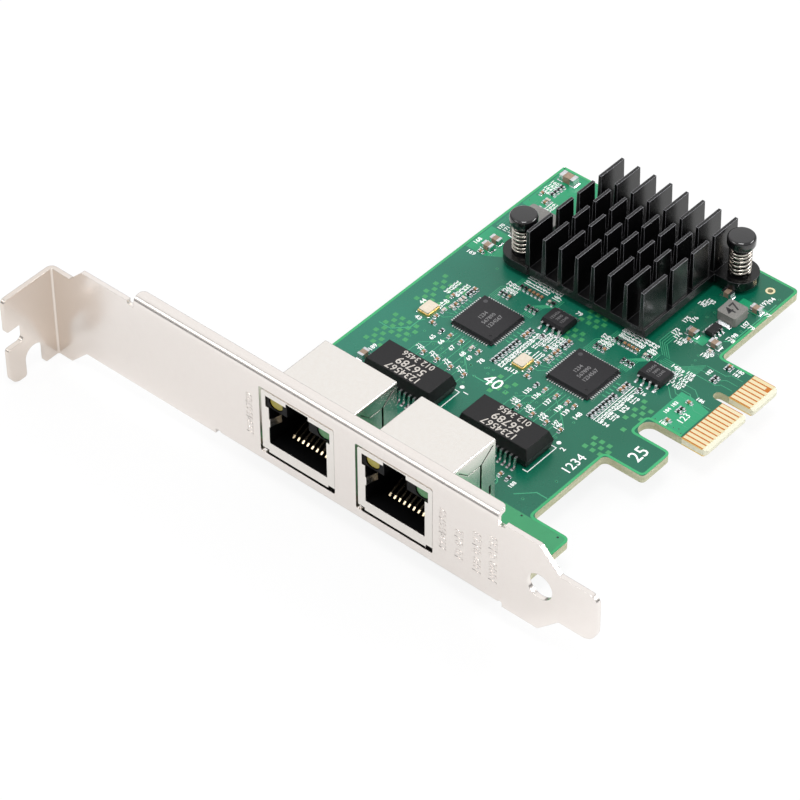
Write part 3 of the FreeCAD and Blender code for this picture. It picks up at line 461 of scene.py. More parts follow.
def add_ribbon(work, path, width, z0, z1):
    """Ribbon of constant width along a path of (x, y) in millimetres, with mitred corners."""
    points = [Vector(p) for p in path]
    left, right = [], []
    for n, point in enumerate(points):
        before = (point - points[n - 1]).normalized() if n else None
        after = (points[n + 1] - point).normalized() if n < len(points) - 1 else None
        along = (before + after).normalized() if before and after else (before or after)
        normal = Vector((-along.y, along.x))
        reach = width / 2
        if before and after:
            reach /= max(0.5, normal.dot(Vector((-before.y, before.x))))
        left.append(point + normal * reach)
        right.append(point - normal * reach)
    for n in range(len(points) - 1):
        quad = [right[n], right[n + 1], left[n + 1], left[n]]
        add_slab(work, [(p.x, p.y) for p in quad], z0, z1)


def islands(node):
    """Box of every separate solid of a node, in millimetres."""
    mesh = node.data
    parent = list(range(len(mesh.vertices)))

    def root(n):
        while parent[n] != n:
            parent[n] = parent[parent[n]]
            n = parent[n]
        return n

    seen = {}
    for vertex in mesh.vertices:
        key = tuple(round(c * 1e7) for c in vertex.co)
        if key in seen:
            parent[root(vertex.index)] = root(seen[key])
        else:
            seen[key] = vertex.index
    for edge in mesh.edges:
        parent[root(edge.vertices[0])] = root(edge.vertices[1])
    groups = {}
    for vertex in mesh.vertices:
        groups.setdefault(root(vertex.index), []).append(vertex.co / MM)
    boxes = [[Vector([pick(p[i] for p in points) for i in range(3)]) for pick in (min, max)]
             for points in groups.values()]
    return sorted(boxes, key=lambda b: (round(b[0].x, 3), round(b[0].y, 3)))


def box_mm(name):
    """Lowest and highest corner of a node, in millimetres."""
    low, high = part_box(name)
    return low / MM, high / MM


# ---------------- small parts

def stretched(low, high, axis, before, after):
    """Box whose ends along an axis are moved outwards."""
    low, high = low.copy(), high.copy()
    low[axis] -= before
    high[axis] += after
    return low, high


def detailed_chip(work, low, high, share, skin, body_slot):
    """Body between two metal ends, on solder pads with small fillets."""
    along = 0 if high.x - low.x > high.y - low.y else 1
    across = 1 - along
    length = high[along] - low[along]
    cap = length * share
    body = stretched(low, high, along, -cap * 0.8, -cap * 0.8)
    body = stretched(*stretched(*body, across, -skin, -skin), 2, -skin, -skin)
    add_box(work, *body, body_slot)
    reach = 0.24 + 0.1 * (length - 1)   # of the pad past the metal end
    for side in (0, 1):
        way = 1 if side else -1
        end = stretched(low, high, along, *(cap - length, 0)[::way])
        pad = stretched(*end, along, *(0.05, reach)[::way])
        add_box(work, *end)
        pad_low, pad_high = stretched(*pad, across, 0.06, 0.06)
        pad_low.z, pad_high.z = 0.0, 0.03
        add_box(work, pad_low, pad_high, 0, 0.02)
        add_fillet(work, low, high, along, across, side, reach * 0.8, (high.z - low.z) * 0.7)


def add_fillet(work, low, high, along, across, side, reach, height):
    """Concave solder wedge between a metal end and its pad."""
    start = high[along] if side else low[along]
    sign = 1 if side else -1
    profile = [(0.0, height), (reach * 0.25, height * 0.45), (reach * 0.6, height * 0.15), (reach, 0.02)]
    edges = (low[across] + 0.02, high[across] - 0.02)
    rows = []
    for step, z in profile + [(0.0, 0.02)]:
        row = []
        for place in edges:
            point = Vector((0, 0, z))
            point[along] = start + sign * step
            point[across] = place
            row.append(work.verts.new(point * MM))
        rows.append(row)
    for n in range(len(rows)):
        a, b = rows[n], rows[(n + 1) % len(rows)]
        work.faces.new((a[0], a[1], b[1], b[0]))
    work.faces.new([row[0] for row in rows])
    work.faces.new([row[1] for row in rows][::-1])


def chip_pieces():
    """Capacitors and resistors with bodies, metal ends and solder, in place of plain solids."""
    random.seed(7)
    odd_share = 0.12   # of the parts have the other body colour
    kinds = (("small_capacitors", ("solder", "tan", "white_ceramic"), "capacitor_ceramic", 0.24, 0.015),
             ("large_capacitors", ("solder", "grey_tan", "tan"), "capacitor_ceramic", 0.25, 0.03),
             ("resistors", ("solder", "resistor", "resistor"), "resistor_body", 0.26, 0.015))
    for node, slots, record_slot, share, skin in kinds:
        boxes = islands(NODES[node])

        def build(work):
            for low, high in boxes:
                body_slot = 2 if random.random() < odd_share else 1
                detailed_chip(work, low, high, share, skin, body_slot)
        made = piece("detailed_" + node, build, slots)
        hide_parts(node)


# ---------------- print, copper and vias on the board

COPPER = (0.001, 0.018)      # bottom and top of raised mask over the board's face
INK = (0.002, 0.026)         # bottom and top of printed lines
FONT_SIZE = 1.38             # font size over the height of a digit
UPRIGHT, LEVEL, TURNED = math.pi / 2, 0.0, math.pi   # ways that a number can read


def add_text(work, text, height, place, extrude, resolution=2, offset=0.0, bevel=0.0):
    """Plain numbers as raised print; place is a matrix in millimetres."""
    curve = bpy.data.curves.new("print", "FONT")
    curve.body = text
    curve.size = height * FONT_SIZE
    curve.align_x = curve.align_y = "CENTER"
    curve.resolution_u = resolution
    curve.offset = offset
    curve.extrude = extrude
    curve.bevel_depth = bevel
    carrier = bpy.data.objects.new("print", curve)
    mesh = bpy.data.meshes.new_from_object(carrier)
    mesh.transform(Matrix.Scale(MM, 4) @ place)
    work.from_mesh(mesh)
    bpy.data.objects.remove(carrier)
    bpy.data.curves.remove(curve)
    bpy.data.meshes.remove(mesh)


def add_flat_text(work, text, height, place, turn, thickness, weight):
    """Numbers lying on a level face; weight thickens their strokes."""
    matrix = Matrix.Translation(place) @ Matrix.Rotation(turn, 4, "Z")
    add_text(work, text, height, matrix, thickness / 2, offset=height * weight)


def board_outline(inset):
    """Outline of the board face on both sides of the contacts, moved inwards."""
    low, high = box_mm("circuit_board")
    edge, tongue = -12.15 - inset, -4.1 - inset   # X of the plain edge, and of the hook and foot
    bare = -5.35                                  # X where the mask ends at the contacts
    foot_y, slot_y, hook_y = -42.4 - inset, -23.6 + inset, -16.0 - inset
    contacts_low, contacts_high = -12.05 + inset, 8.0 - inset
    left, bottom, top = low.x + inset, low.y + inset, high.y - inset
    return [
        (left, top), (left, bottom), (tongue, bottom), (tongue, foot_y), (edge, foot_y), (edge, slot_y),
        (tongue, slot_y), (tongue, hook_y), (edge, hook_y), (edge, contacts_low), (bare, contacts_low),
    ], [(bare, contacts_high), (edge, contacts_high), (edge, top), (left, top)]


def rounded(path, radius, steps=5):
    """Path with its inner corners rounded."""
    points = [Vector(p) for p in path]
    result = [points[0]]
    for n in range(1, len(points) - 1):
        here = points[n]
        before = points[n - 1] - here
        after = points[n + 1] - here
        reach = min(radius, before.length / 2.1, after.length / 2.1)
        start = here + before.normalized() * reach
        end = here + after.normalized() * reach
        for step in range(steps + 1):
            t = step / steps
            result.append(start * (1 - t) ** 2 + here * 2 * t * (1 - t) + end * t ** 2)
    result.append(points[-1])
    return [(p.x, p.y) for p in result]


def rim_piece():
    """Bright line of mask along the board's edge, where the copper planes stop."""
    def build(work):
        for path in board_outline(0.28):
            add_ribbon(work, rounded(path, 1.0), 0.5, *COPPER)
    piece("board_rim_line", build, ["rim_mask"])


def cut_corner(start, end, first):
    """Straight, diagonal and straight run; first is the length of the first one, along Y."""
    (x0, y0), (x1, y1) = start, end
    down = 1 if y1 > y0 else -1
    knee = (x0, y0 + down * first)
    slant = abs(x1 - x0)
    return [start, knee, (x1, knee[1] + down * slant), end]


def channel_centres():
    """Middle of each channel, from its transformer, in millimetres."""
    centres = []
    for n in (1, 2):
        low, high = box_mm("transformer_body_%d" % n)
        centres.append((low.x + high.x) / 2)
    return centres


def trace_piece():
    """Tracks that show as paler lines under the mask."""
    wide, narrow = 0.22, 0.13

    def build(work):
        def track(*path, width=narrow, x=0.0, y=0.0):
            """Track through points, all moved by (x, y)."""
            add_ribbon(work, [(px + x, py + y) for px, py in path], width, *COPPER)
        for centre in channel_centres():
            for n in range(8):
                first = 1.6 + 0.5 * abs(n - 3.5)
                track(*cut_corner((0.75 * n - 2.9, -16.3), (1.6 * n - 5.6, -26.2), first), x=centre)
            for n in range(6):
                shift = 0.34 * n
                track((3.2, -5.4), (3.2, -2.6 + shift * 0.4), (5.0, -0.8 + shift * 0.4), (5.0, 1.8),
                      x=centre + shift)
                track((-4.2, -5.4), (-4.2, -2.2 - shift), (-2.6, -0.6 - shift * 0.5), (-2.6, 1.9),
                      x=centre + shift)
            for n in range(5):
                track((-5.4, 0), (-6.1, 0), width=wide, x=centre, y=-8.6 - 0.95 * n)
                track((5.4, 0), (6.3, 0), width=wide, x=centre, y=-8.6 - 0.95 * n)
            for n in range(4):
                track(*cut_corner((0, -37.4), (1.1, -43.2), 1.4), width=wide, x=centre - 4.6 + 3.0 * n)
            track((-8.6, -17.2), (-9.2, -18.0), (-9.2, -20.4), (-11.6, -22.8), (-14.2, -22.8),
                  width=wide, x=centre)
            track((-5.4, -12.9), (-6.8, -13.4), (-8.6, -13.4), x=centre)
            track((-5.4, -13.6), (-6.6, -14.8), (-8.4, -14.8), x=centre)
        for n in range(7):
            track((-12.6, 4.8), (-15.8, 1.6), (-19.2, 1.6), y=-0.42 * n)
        for n in range(4):
            track((-22.6, 8.0), (-22.6, 4.6), (-20.0, 2.0), x=0.5 * n)
            track((-5.6, -3.6 - 2 * n), (-7.6, -3.6 - 2 * n), (-10.4, -1.4 - 1.4 * n),
                  (-12.4, -1.4 - 1.4 * n), (-14.4, 0.6 - 1.4 * n))
        for n in range(3):
            track((-5.6, 2.4), (-7.9, 2.4), (-8.6, 1.7), (-12.9, 1.7), y=1.5 * n)
            track((-63.2, 10.0), (-63.2, 16.2), (-62.0, 17.4), (-62.0, 20.0), x=0.5 * n)
        track((-13.0, 24.8), (-13.0, 12.6), (-14.2, 11.4), width=wide)
        track((-17.7, -40.4), (-15.0, -37.7), (-12.8, -37.7), width=wide)
    piece("board_tracks", build, ["trace_mask"])


def copper_piece():
    """Areas where the mask lies over other copper: paler fields, the foot and small squares."""
    size, step_x, step_y, left_out = 0.86, 1.27 * 0.62, 1.27, 0.12
    # x, y, columns and rows of each group of squares
    groups = ((-61.6, -14.4, 4, 7), (-61.6, -27.6, 4, 7), (-15.6, -17.2, 2, 7), (-37.2, -5.6, 3, 3),
              (-36.6, -0.2, 3, 3), (-38.6, -24.2, 3, 4), (-16.4, -24.4, 3, 3))

    def build(work):
        def field(outline, material=0, top=0.004):
            add_slab(work, outline, COPPER[0], top, material)
        field(rectangle(-64.0, -57.0, -4.6, -42.9), 1)
        field([(-11.9, -11.6), (-5.4, -11.6), (-5.4, -4.2), (-9.6, -3.2), (-11.9, -3.2)])
        field([(-63.7, 2.2), (-59.6, 2.2), (-56.2, 4.4), (-56.2, 8.4), (-58.0, 9.2), (-63.7, 9.2)])
        field(rectangle(-63.7, 17.6, -51.4, 29.8))
        field(rectangle(-18.4, 20.4, -12.9, 22.6))
        field(rectangle(-18.9, 8.2, -16.2, 10.4))
        rng = random.Random(11)
        for x0, y0, columns, rows in groups:
            for column in range(columns * 2):
                for row in range(rows):
                    if (column + row) % 2 or rng.random() < left_out:
                        continue
                    x, y = x0 + column * step_x, y0 + row * step_y
                    field(rectangle(x, y, x + size, y + size), 2, 0.012)
    piece("board_fields", build, ["light_mask", "foot_mask", "square_mask"])


def via_piece():
    """Plated holes closed by mask, seen on both faces: a pale ring round a dark dimple."""
    under = box_mm("circuit_board")[0].z

    def build(work):
        def via(x, y, radius, hole):
            for face, way in ((0.0, 1), (under, -1)):
                for size, rise, slot in ((radius, 0.02, 0), (hole, 0.024, 1)):
                    z0, z1 = sorted((face + way * COPPER[0], face + way * rise))
                    add_slab(work, circle(x, y, size, 12), z0, z1, slot)
        rng = random.Random(5)
        rows = (-19.9, -21.2, -22.4, -25.2, 0.9, -36.9, -38.4)
        for centre in channel_centres():
            for n in range(26):
                x = centre + rng.uniform(-9.0, 9.0)
                y = rng.choice(rows) + rng.uniform(-0.4, 0.4)
                via(x, y, 0.24, 0.12)
            for n in range(5):
                via(centre + 8.7 + 0.7 * (n % 2), -8.2 - 1.7 * n, 0.24, 0.12)
        for n in range(7):
            via(-63.2, 25.4 - 2.1 * n, 0.22, 0.12)
            via(-62.2 + 0.9 * n, 10.2 + 0.5 * (n % 2), 0.22, 0.12)
            via(-11.2 + 0.9 * n, -11.3 + 0.3 * (n % 3), 0.2, 0.11)
            via(-13.2 - 0.35 * n, -2.0 + 1.3 * n, 0.22, 0.12)
        for x, y in ((-13.5, -43.4), (-5.9, -43.5)):
            via(x, y, 0.26, 0.21)
        for x, y in ((-15.8, -40.3), (-14.2, -33.6), (-13.4, 26.2), (-13.4, 13.2), (-20.2, 14.6),
                     (-19.9, 16.4), (-13.5, 15.4), (-8.4, -18.4), (-30.4, -39.6), (-38.4, -37.0)):
            via(x, y, 0.26, 0.15)
    piece("board_vias", build, ["trace_mask", "hole"])


def gold_ring_piece():
    """Plated ring of the bare hole, with its bright bore."""
    def build(work):
        x, y, inner, outer, low, high = -16.0, 27.1, 0.5, 0.86, COPPER[0], 0.025
        rings = [add_ring(work, x, y, radius, z, 28)
                 for radius, z in ((inner, high), (outer, high), (outer, low), (inner, low))]
        for n in range(4):
            bridge(work, rings[n], rings[(n + 1) % 4])
    piece("plated_ring", build, ["gold"])


# numbers beside single parts: x, y, turn, height
SINGLE_LABELS = (
    (-63.0, 4.6, UPRIGHT, 0.9), (-61.9, 1.4, LEVEL, 0.9), (-62.3, 10.2, UPRIGHT, 0.8),
    (-61.2, 10.3, UPRIGHT, 0.8), (-60.1, 10.4, UPRIGHT, 0.8), (-22.0, 8.2, UPRIGHT, 0.9),
    (-21.0, 7.6, UPRIGHT, 0.9), (-22.4, 11.8, UPRIGHT, 0.9), (-21.4, 12.6, UPRIGHT, 0.9),
    (-12.9, 21.6, LEVEL, 0.9), (-13.6, 12.4, LEVEL, 0.9), (-13.0, 17.2, LEVEL, 0.9),
    (-7.4, 7.0, LEVEL, 0.75), (-7.4, 6.0, LEVEL, 0.75), (-11.3, 3.6, UPRIGHT, 0.75),
    (-10.9, -6.4, UPRIGHT, 0.75), (-10.9, -8.4, UPRIGHT, 0.75), (-9.6, -11.2, LEVEL, 0.8),
    (-8.2, -2.9, LEVEL, 0.8), (-22.4, -40.2, UPRIGHT, 0.8), (-19.2, -38.9, UPRIGHT, 0.8),
    (-58.6, -28.4, UPRIGHT, 0.9), (-22.9, 16.7, LEVEL, 0.85), (-22.5, 17.5, LEVEL, 0.85),
    (-22.1, 18.3, LEVEL, 0.85), (-14.7, 23.7, UPRIGHT, 0.95), (-14.3, 25.0, UPRIGHT, 0.95),
    (-19.9, 6.2, LEVEL, 0.85), (-19.6, 7.2, LEVEL, 0.85), (-13.9, 17.2, UPRIGHT, 0.95),
    (-13.6, 13.5, UPRIGHT, 0.9), (-14.5, 6.4, LEVEL, 0.85), (-14.1, 7.3, LEVEL, 0.85),
)
# larger numbers: text, x, y, turn, height
LARGE_LABELS = (
    ("123", -7.6, -8.2, UPRIGHT, 1.35), ("25", -7.9, -19.8, UPRIGHT, 2.6),
    ("1234", -14.6, -28.6, UPRIGHT, 1.9), ("40", -37.4, -22.0, LEVEL, 2.6),
)


def print_piece():
    """White print: outlines, dots and plain numbers beside the parts."""
    def build(work):
        numbers = iter(range(10, 999))

        def label(x, y, turn=UPRIGHT, height=0.88, text=None):
            weight = 0.03 if height < 1.2 else 0.005
            add_flat_text(work, text or str(next(numbers)), height, (x, y, 0.016), turn, 0.02, weight)

        def rows(starts, count, step, turn=UPRIGHT, height=0.88, skip=()):
            """Labels in rows side by side, numbered across them."""
            for n in range(count):
                for x, y in starts:
                    if n not in skip:
                        label(x + step[0] * n, y + step[1] * n, turn, height)

        def bracket(x, y0, y1, lip):
            """Line along Y whose ends turn by a lip along X."""
            add_ribbon(work, [(x + lip, y0), (x, y0), (x, y1), (x + lip, y1)], 0.17, *INK)
        for channel, centre in enumerate(channel_centres(), 1):
            bracket(centre + 7.75, -34.95, -27.45, -1.0)
            bracket(centre - 7.75, -34.95, -27.45, 1.0)
            add_slab(work, circle(centre + 7.3, -26.2, 0.42, 16), *INK)
            label(centre + 8.8, -27.0, UPRIGHT, 1.0, str(channel))
            bracket(centre + 11.6, -5.4, -2.2, -0.5)
            rows([(centre - 1.3, 1.55)], 9, (0.88, 0), skip=(6,))
            rows([(centre - 1.6, 2.9)], 8, (0.95, 0))
            rows([(centre - 3.0, -2.0), (centre - 3.4, -0.6)], 3, (0.88, 0))
            rows([(centre - 8.6, -6.0), (centre - 10.4, -6.4)], 4, (0, -0.95), LEVEL, 0.84)
            rows([(centre - 8.9, -11.3)], 3, (0, -0.9), LEVEL, 0.84)
            label(centre - 9.8, -17.6, LEVEL, 0.95)
            label(centre - 11.9, -13.9, UPRIGHT, 0.95)
            for n in range(12):
                label(centre + 8.75, -7.8 - 0.91 * n, LEVEL, 0.82)
                if n % 3 != 1:
                    label(centre + 10.2, -7.8 - 0.91 * n, LEVEL, 0.82)
            for x in (-4.4, -2.5, -0.1, 2.3, 3.8):
                label(centre + x - 0.25, -19.85, UPRIGHT, 0.9)
            for n in range(4):
                label(centre - 4.3 + 2.98 * n, -23.2, UPRIGHT, 0.85)
                label(centre - 5.1 + 2.98 * n, -22.9, UPRIGHT, 0.7)
            label(centre + 5.6, -19.2, UPRIGHT, 0.95)
            label(centre + 10.6, 1.0, LEVEL, 0.9)
        for n in range(5):
            for x, y in ((-13.4, -2.8), (-15.4, -3.2)):
                label(x + 0.3 * (n % 2), y + n, LEVEL, 0.84)
        for n in range(4):
            label(-62.7 + 0.2 * (n % 2), 25.6 - 0.95 * n, LEVEL, 0.84)
            label(-59.0, 20.8 - 0.9 * n, LEVEL, 0.84)
        for place in SINGLE_LABELS:
            label(*place)
        for text, *place in LARGE_LABELS:
            label(*place, text)
    piece("board_print", build, ["ink"])


def part_print_pieces():
    """Plain numbers printed or laser-marked on the packages."""
    def marks(name, ink, lines, weight):
        def build(work):
            for text, height, x, y, z, turn in lines:
                add_flat_text(work, text, height, (x, y, z + 0.006), turn, 0.012, weight)
        piece(name, build, [ink], turn_out=False)

    def on_chips(node, height, words):
        """Numbers on both chips of a kind; each word has its place across the middle."""
        lines = []
        for n in (1, 2):
            low, high = box_mm("%s_%d" % (node, n))
            middle = (low + high) / 2
            lines += [(text, height, middle.x + x, middle.y, high.z, UPRIGHT) for text, x in words]
        return lines

    transformer_lines = []
    for n, centre in enumerate(channel_centres(), 1):
        top = box_mm("transformer_body_%d" % n)[1].z
        words = (("1234567", 1.5, -33.2), ("56789", 1.75, -31.2), ("012 3456", 1.3, -29.2))
        transformer_lines += [(text, height, centre + 0.3, y, top, TURNED) for text, height, y in words]
    chip_lines = on_chips("controller_chip", 0.8, (("1234", -1.1), ("567890", 0.2), ("1234567", 1.5)))
    flash_lines = on_chips("flash_chip", 0.6, (("123456", -0.9), ("7890", 0.1), ("12345", 1.1)))
    low, high = box_mm("choke")
    choke_lines = [("47", 2.1, (low.x + high.x) / 2, (low.y + high.y) / 2, high.z, UPRIGHT)]
    marks("transformer_numbers", "pad_ink", transformer_lines, 0.012)
    marks("controller_numbers", "laser", chip_lines, 0.015)
    marks("flash_numbers", "laser", flash_lines, 0.0)
    marks("choke_number", "dark_ink", choke_lines, 0.012)


def bracket_numbers():
    """Plain raised numbers on the bracket's face, beside the ports and at the tip end."""
    front = box_mm("jack_shield_1")[0].y - 0.07
    reading_up = Matrix(((0, -1, 0), (0, 0, -1), (1, 0, 0))).to_4x4()
    # text, height, x, z
    columns = (("123456789", 1.5, -58.6, 6.2), ("123456789", 1.5, -17.0, 6.2),
               ("10 012", 1.8, -13.6, 4.9), ("100 0123", 1.8, -9.9, 5.5), ("1000 0123", 1.8, -6.6, 6.1))

    def build(work):
        for text, height, x, z in columns:
            place = Matrix.Translation((x, front, z)) @ reading_up
            add_text(work, text, height, place, 0.03, resolution=3, bevel=0.03)
    piece("bracket_numbers", build, ["nickel"], turn_out=False)


# ---------------- springs, push pins and solder

def add_tube(work, path, radius, sides=8):
    """Round wire along a path in millimetres, with closed ends."""
    rings = []
    for n, point in enumerate(path):
        ahead = path[min(n + 1, len(path) - 1)] - path[max(n - 1, 0)]
        along = ahead.normalized()
        side = along.cross(Vector((0, 0, 1))).normalized()
        up = side.cross(along)
        rings.append([work.verts.new((point + side * radius * math.cos(2 * math.pi * k / sides)
                                      + up * radius * math.sin(2 * math.pi * k / sides)) * MM)
                      for k in range(sides)])
    for a, b in zip(rings, rings[1:]):
        for k in range(sides):
            after = (k + 1) % sides
            work.faces.new((a[k], a[after], b[after], b[k]))
    work.faces.new(rings[0][::-1])
    work.faces.new(rings[-1])


def spring_pieces():
    """Smooth coils in place of the faceted ones."""
    wire, turns, per_turn = 0.46, 6.5, 28
    for side in ("left", "right"):
        low, high = box_mm("pin_spring_" + side)
        middle = (low + high) / 2
        reach = (high.x - low.x) / 2 - wire / 2
        bottom, top = low.z + wire / 2, high.z - wire / 2

        def build(work):
            path = []
            steps = round(turns * per_turn)
            for n in range(steps + 1):
                share = n / steps
                ease = 0.5 - 0.5 * math.cos(math.pi * share)
                around = 2 * math.pi * n / per_turn
                x, y = middle.x + reach * math.cos(around), middle.y + reach * math.sin(around)
                path.append(Vector((x, y, bottom + (top - bottom) * (0.6 * share + 0.4 * ease))))
            add_tube(work, path, wire / 2)
        made = piece("coil_" + side, build, ["spring"], smooth=True)
        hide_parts("pin_spring_" + side)


def add_lathe(work, profile, x, y, sides=44):
    """Body of revolution about a vertical axis; the profile starts and ends on the axis."""
    rings = [add_ring(work, x, y, radius, z, sides) for radius, z in profile]
    for a, b in zip(rings, rings[1:]):
        bridge(work, a, b)


def pin_pieces():
    """Turned push pins: domed cap, collar and shaft, and two barbed halves under the board."""
    cap_height, crown, collar, collar_height, shaft = 2.0, 0.6, 1.95, 0.5, 1.2
    barb, barb_height, tip, tip_height, half_slot = 1.85, 1.6, 0.8, 1.5, 0.35
    under = box_mm("circuit_board")[0].z
    for side in ("left", "right"):
        low, high = box_mm("push_pin_" + side)
        x, y, top = (low.x + high.x) / 2, (low.y + high.y) / 2, high.z
        cap = (high.x - low.x) / 2
        bottom = top - cap_height

        def build(work):
            upper = [(0, top)]
            for angle in (math.radians(15 * n) for n in range(7)):
                out, up = crown * math.sin(angle), crown * math.cos(angle)
                upper.append((cap - crown + out, top - crown + up))
            upper += [(cap, bottom + 0.3), (cap - 0.08, bottom + 0.1), (cap - 0.25, bottom),
                      (collar, bottom), (collar, bottom - collar_height),
                      (shaft, bottom - collar_height), (shaft, under), (0, under)]
            add_lathe(work, upper, x, y)
            neck, end = under - barb_height, under - barb_height - tip_height
            lower = [(0, under), (barb, under), (shaft, neck), (tip, end), (0, end)]
            for way in (-1, 1):
                half = bmesh.new()
                add_lathe(half, lower, x, y)
                bmesh.ops.bisect_plane(half, geom=half.verts[:] + half.edges[:] + half.faces[:],
                                       plane_co=Vector((x, y + way * half_slot, 0)) * MM,
                                       plane_no=(0, -way, 0), clear_outer=True)
                bmesh.ops.holes_fill(half, edges=[edge for edge in half.edges if edge.is_boundary])
                mesh = bpy.data.meshes.new("barb")
                half.to_mesh(mesh)
                half.free()
                work.from_mesh(mesh)
                bpy.data.meshes.remove(mesh)
        made = piece("turned_pin_" + side, build, ["black_plastic"], smooth=True)
        sharp = made.modifiers.new("sharp_edges", "EDGE_SPLIT")
        sharp.split_angle = math.radians(50)
        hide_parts("push_pin_" + side)


def solder_piece():
    """Solder cones round the tails below the board."""
    under = box_mm("circuit_board")[0].z
    cone = ((0.62, -0.01), (0.4, -0.25), (0.24, -0.75))   # radius and height below the board

    def build(work):
        for n in (1, 2):
            for low, high in islands(NODES["jack_contacts_%d" % n]):
                x = (low.x + high.x) / 2
                y = high.y - (high.x - low.x) / 2
                rings = [add_ring(work, x, y, radius, under + z, 14) for radius, z in cone]
                for a, b in zip(rings, rings[1:]):
                    bridge(work, a, b)
                work.faces.new(rings[0])
                work.faces.new(rings[-1][::-1])
    piece("tail_solder", build, ["solder"], smooth=True)


def pad_piece():
    """Tinned pads and solder under the package leads."""
    pad_top, heel_top, side_margin, heel_margin = 0.03, 0.13, 0.07, 0.04
    # how far the pads of each package reach past its leads
    reaches = (("transformer_leads_1", 0.22), ("transformer_leads_2", 0.22), ("flash_leads_1", 0.2),
               ("flash_leads_2", 0.2), ("regulator_leads", 0.15))

    def build(work):
        for node, reach in reaches:
            low_all, high_all = box_mm(node)
            middle = (low_all + high_all) / 2
            for low, high in islands(NODES[node]):
                along = 1 if high.y - low.y > high.x - low.x else 0
                half = (high[along] - low[along]) * 0.5
                outer = (low[along] + high[along]) / 2 > middle[along]
                ends = (-half, reach) if outer else (reach, -half)
                low, high = stretched(low, high, along, *ends)
                low, high = stretched(low, high, 1 - along, side_margin, side_margin)
                low.z, high.z = 0.0, pad_top
                add_box(work, low, high, 0, 0.02)
                low, high = stretched(low, high, 1 - along, -heel_margin, -heel_margin)
                high.z = heel_top
                add_box(work, low, high, 0, 0.12)

        def flat_pad(x0, y0, x1, y1):
            add_box(work, Vector((x0, y0, 0.0)), Vector((x1, y1, 0.05)), 0, 0.05)
        for n in (1, 2):
            low, high = box_mm("crystal_base_%d" % n)
            for x in (low.x, high.x):
                for y in (low.y, high.y):
                    flat_pad(x - 0.14, y - 0.14, x + 0.14, y + 0.14)
        for name in ("choke", "large_choke"):
            low, high = box_mm(name)
            for y in (low.y - 0.2, high.y + 0.2):
                flat_pad(low.x + 0.5, y - 0.6, high.x - 0.5, y + 0.6)
    piece("lead_pads", build, ["solder"])


def mould_mark_piece():
    """Shallow round mould mark on each controller's top."""
    def build(work):
        for n in (1, 2):
            low, high = box_mm("controller_chip_%d" % n)
            add_slab(work, circle(low.x + 1.4, high.y - 1.4, 0.42, 24), high.z + 0.001, high.z + 0.004)
    piece("mould_marks", build, ["mould_mark"])


photo_camera()
dress_nodes()
chip_pieces()
rim_piece()
copper_piece()
trace_piece()
via_piece()
gold_ring_piece()
print_piece()
part_print_pieces()
bracket_numbers()
spring_pieces()
pin_pieces()
solder_piece()
pad_piece()
mould_mark_piece()


# ---------------- stage

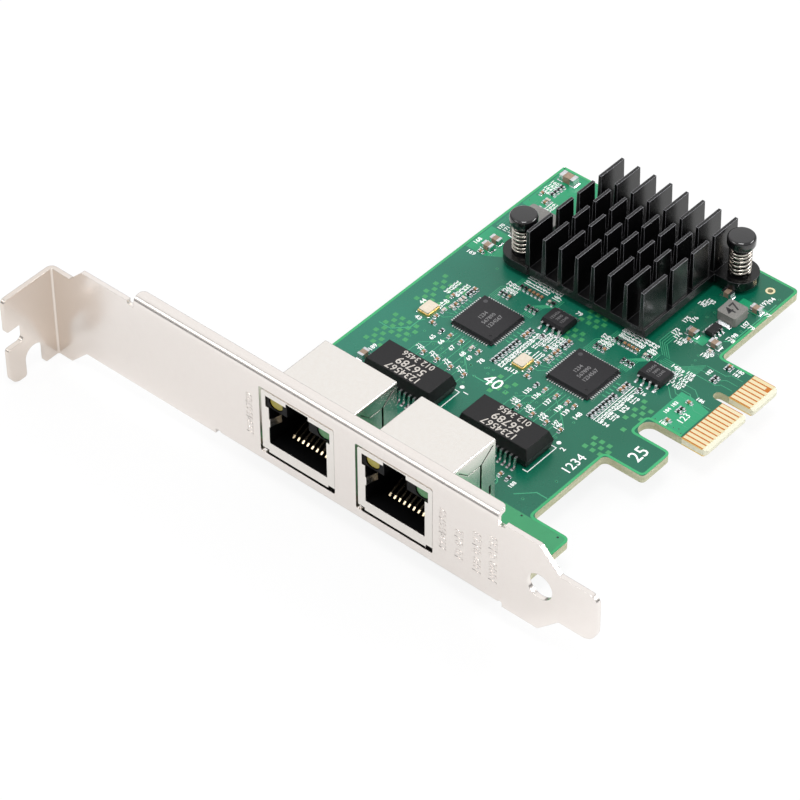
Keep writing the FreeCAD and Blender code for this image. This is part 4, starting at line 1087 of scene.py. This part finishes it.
def stage():
    """White floor that keeps the shadow."""
    low, _ = box_mm("bracket")
    bpy.ops.mesh.primitive_plane_add(size=8, location=(0, 0, low.z * MM - 0.0001))
    floor = bpy.context.object
    floor.name = "floor"
    nodes = Nodes("floor_paint")
    nodes.colour(nodes.mix(nodes.noise(3, 3.0), (0.93, 0.93, 0.93), (0.95, 0.95, 0.95)))
    nodes.fixed(Roughness=0.9)
    rays = nodes.node("ShaderNodeLightPath").outputs
    glossy = rays["Is Glossy Ray"]
    glow = nodes.node("ShaderNodeEmission")
    nodes.link(nodes.math("SUBTRACT", 1.0, nodes.math("MULTIPLY", glossy, 0.25)), glow.inputs["Strength"])
    bounced = nodes.math("MAXIMUM", glossy, rays["Is Transmission Ray"])
    share = nodes.math("MAXIMUM", nodes.math("MULTIPLY", rays["Is Camera Ray"], 0.88),
                       nodes.math("MULTIPLY", bounced, 0.3))
    nodes.blend(share, nodes.shader.outputs[0], glow.outputs[0], "Material Output")
    floor.data.materials.append(nodes.material)


def surround():
    """Plain white world for the camera, with a dark horizon for the metal."""
    world = bpy.data.worlds.new("studio")
    bpy.context.scene.world = world
    nodes = Nodes(world)
    ramp = nodes.node("ShaderNodeValToRGB")
    stops = ((0.0, 0.04), (0.14, 0.06), (0.24, 0.56), (0.75, 0.62), (1.0, 0.5))   # height and grey
    elements = ramp.color_ramp.elements
    while len(elements) < len(stops):
        elements.new(0.5)
    for element, (height, grey) in zip(elements, stops):
        element.position = height
        element.color = (grey, grey, grey, 1)
    nodes.link(nodes.split(nodes.places["Generated"])[2], ramp.inputs[0])
    background = nodes.tree.nodes["Background"]
    nodes.link(ramp.outputs[0], background.inputs["Color"])
    bright = nodes.node("ShaderNodeBackground")
    bright.inputs["Color"].default_value = (1, 1, 1, 1)
    camera_ray = nodes.node("ShaderNodeLightPath").outputs["Is Camera Ray"]
    nodes.blend(camera_ray, background.outputs[0], bright.outputs[0], "World Output")


def lamp(name, place, target, size, radiance):
    """Soft box; its power follows from its size and how bright it looks."""
    data = bpy.data.lights.new(name, "AREA")
    data.shape = "RECTANGLE"
    data.size, data.size_y = size
    data.energy = radiance * math.pi * size[0] * size[1]
    made = bpy.data.objects.new(name, data)
    bpy.context.scene.collection.objects.link(made)
    made.location = place
    made.rotation_euler = (Vector(target) - Vector(place)).to_track_quat("-Z", "Y").to_euler()


def lights():
    """Soft boxes of the studio."""
    middle = (-0.04, -0.02, 0)
    lamp("back_wall", (-0.62, 0.62, 0.95), middle, (1.8, 1.8), 0.4)
    lamp("edge_softbox", (0.62, 0.62, 0.62), middle, (0.6, 0.14), 16.0)
    lamp("top_softbox", (0.15, -0.25, 1.25), middle, (0.45, 0.45), 10.0)
    lamp("front_softbox", (-0.5, -0.75, 0.75), middle, (0.5, 0.3), 3.0)


stage()
surround()
lights()
bpy.context.scene.view_settings.view_transform = "Standard"
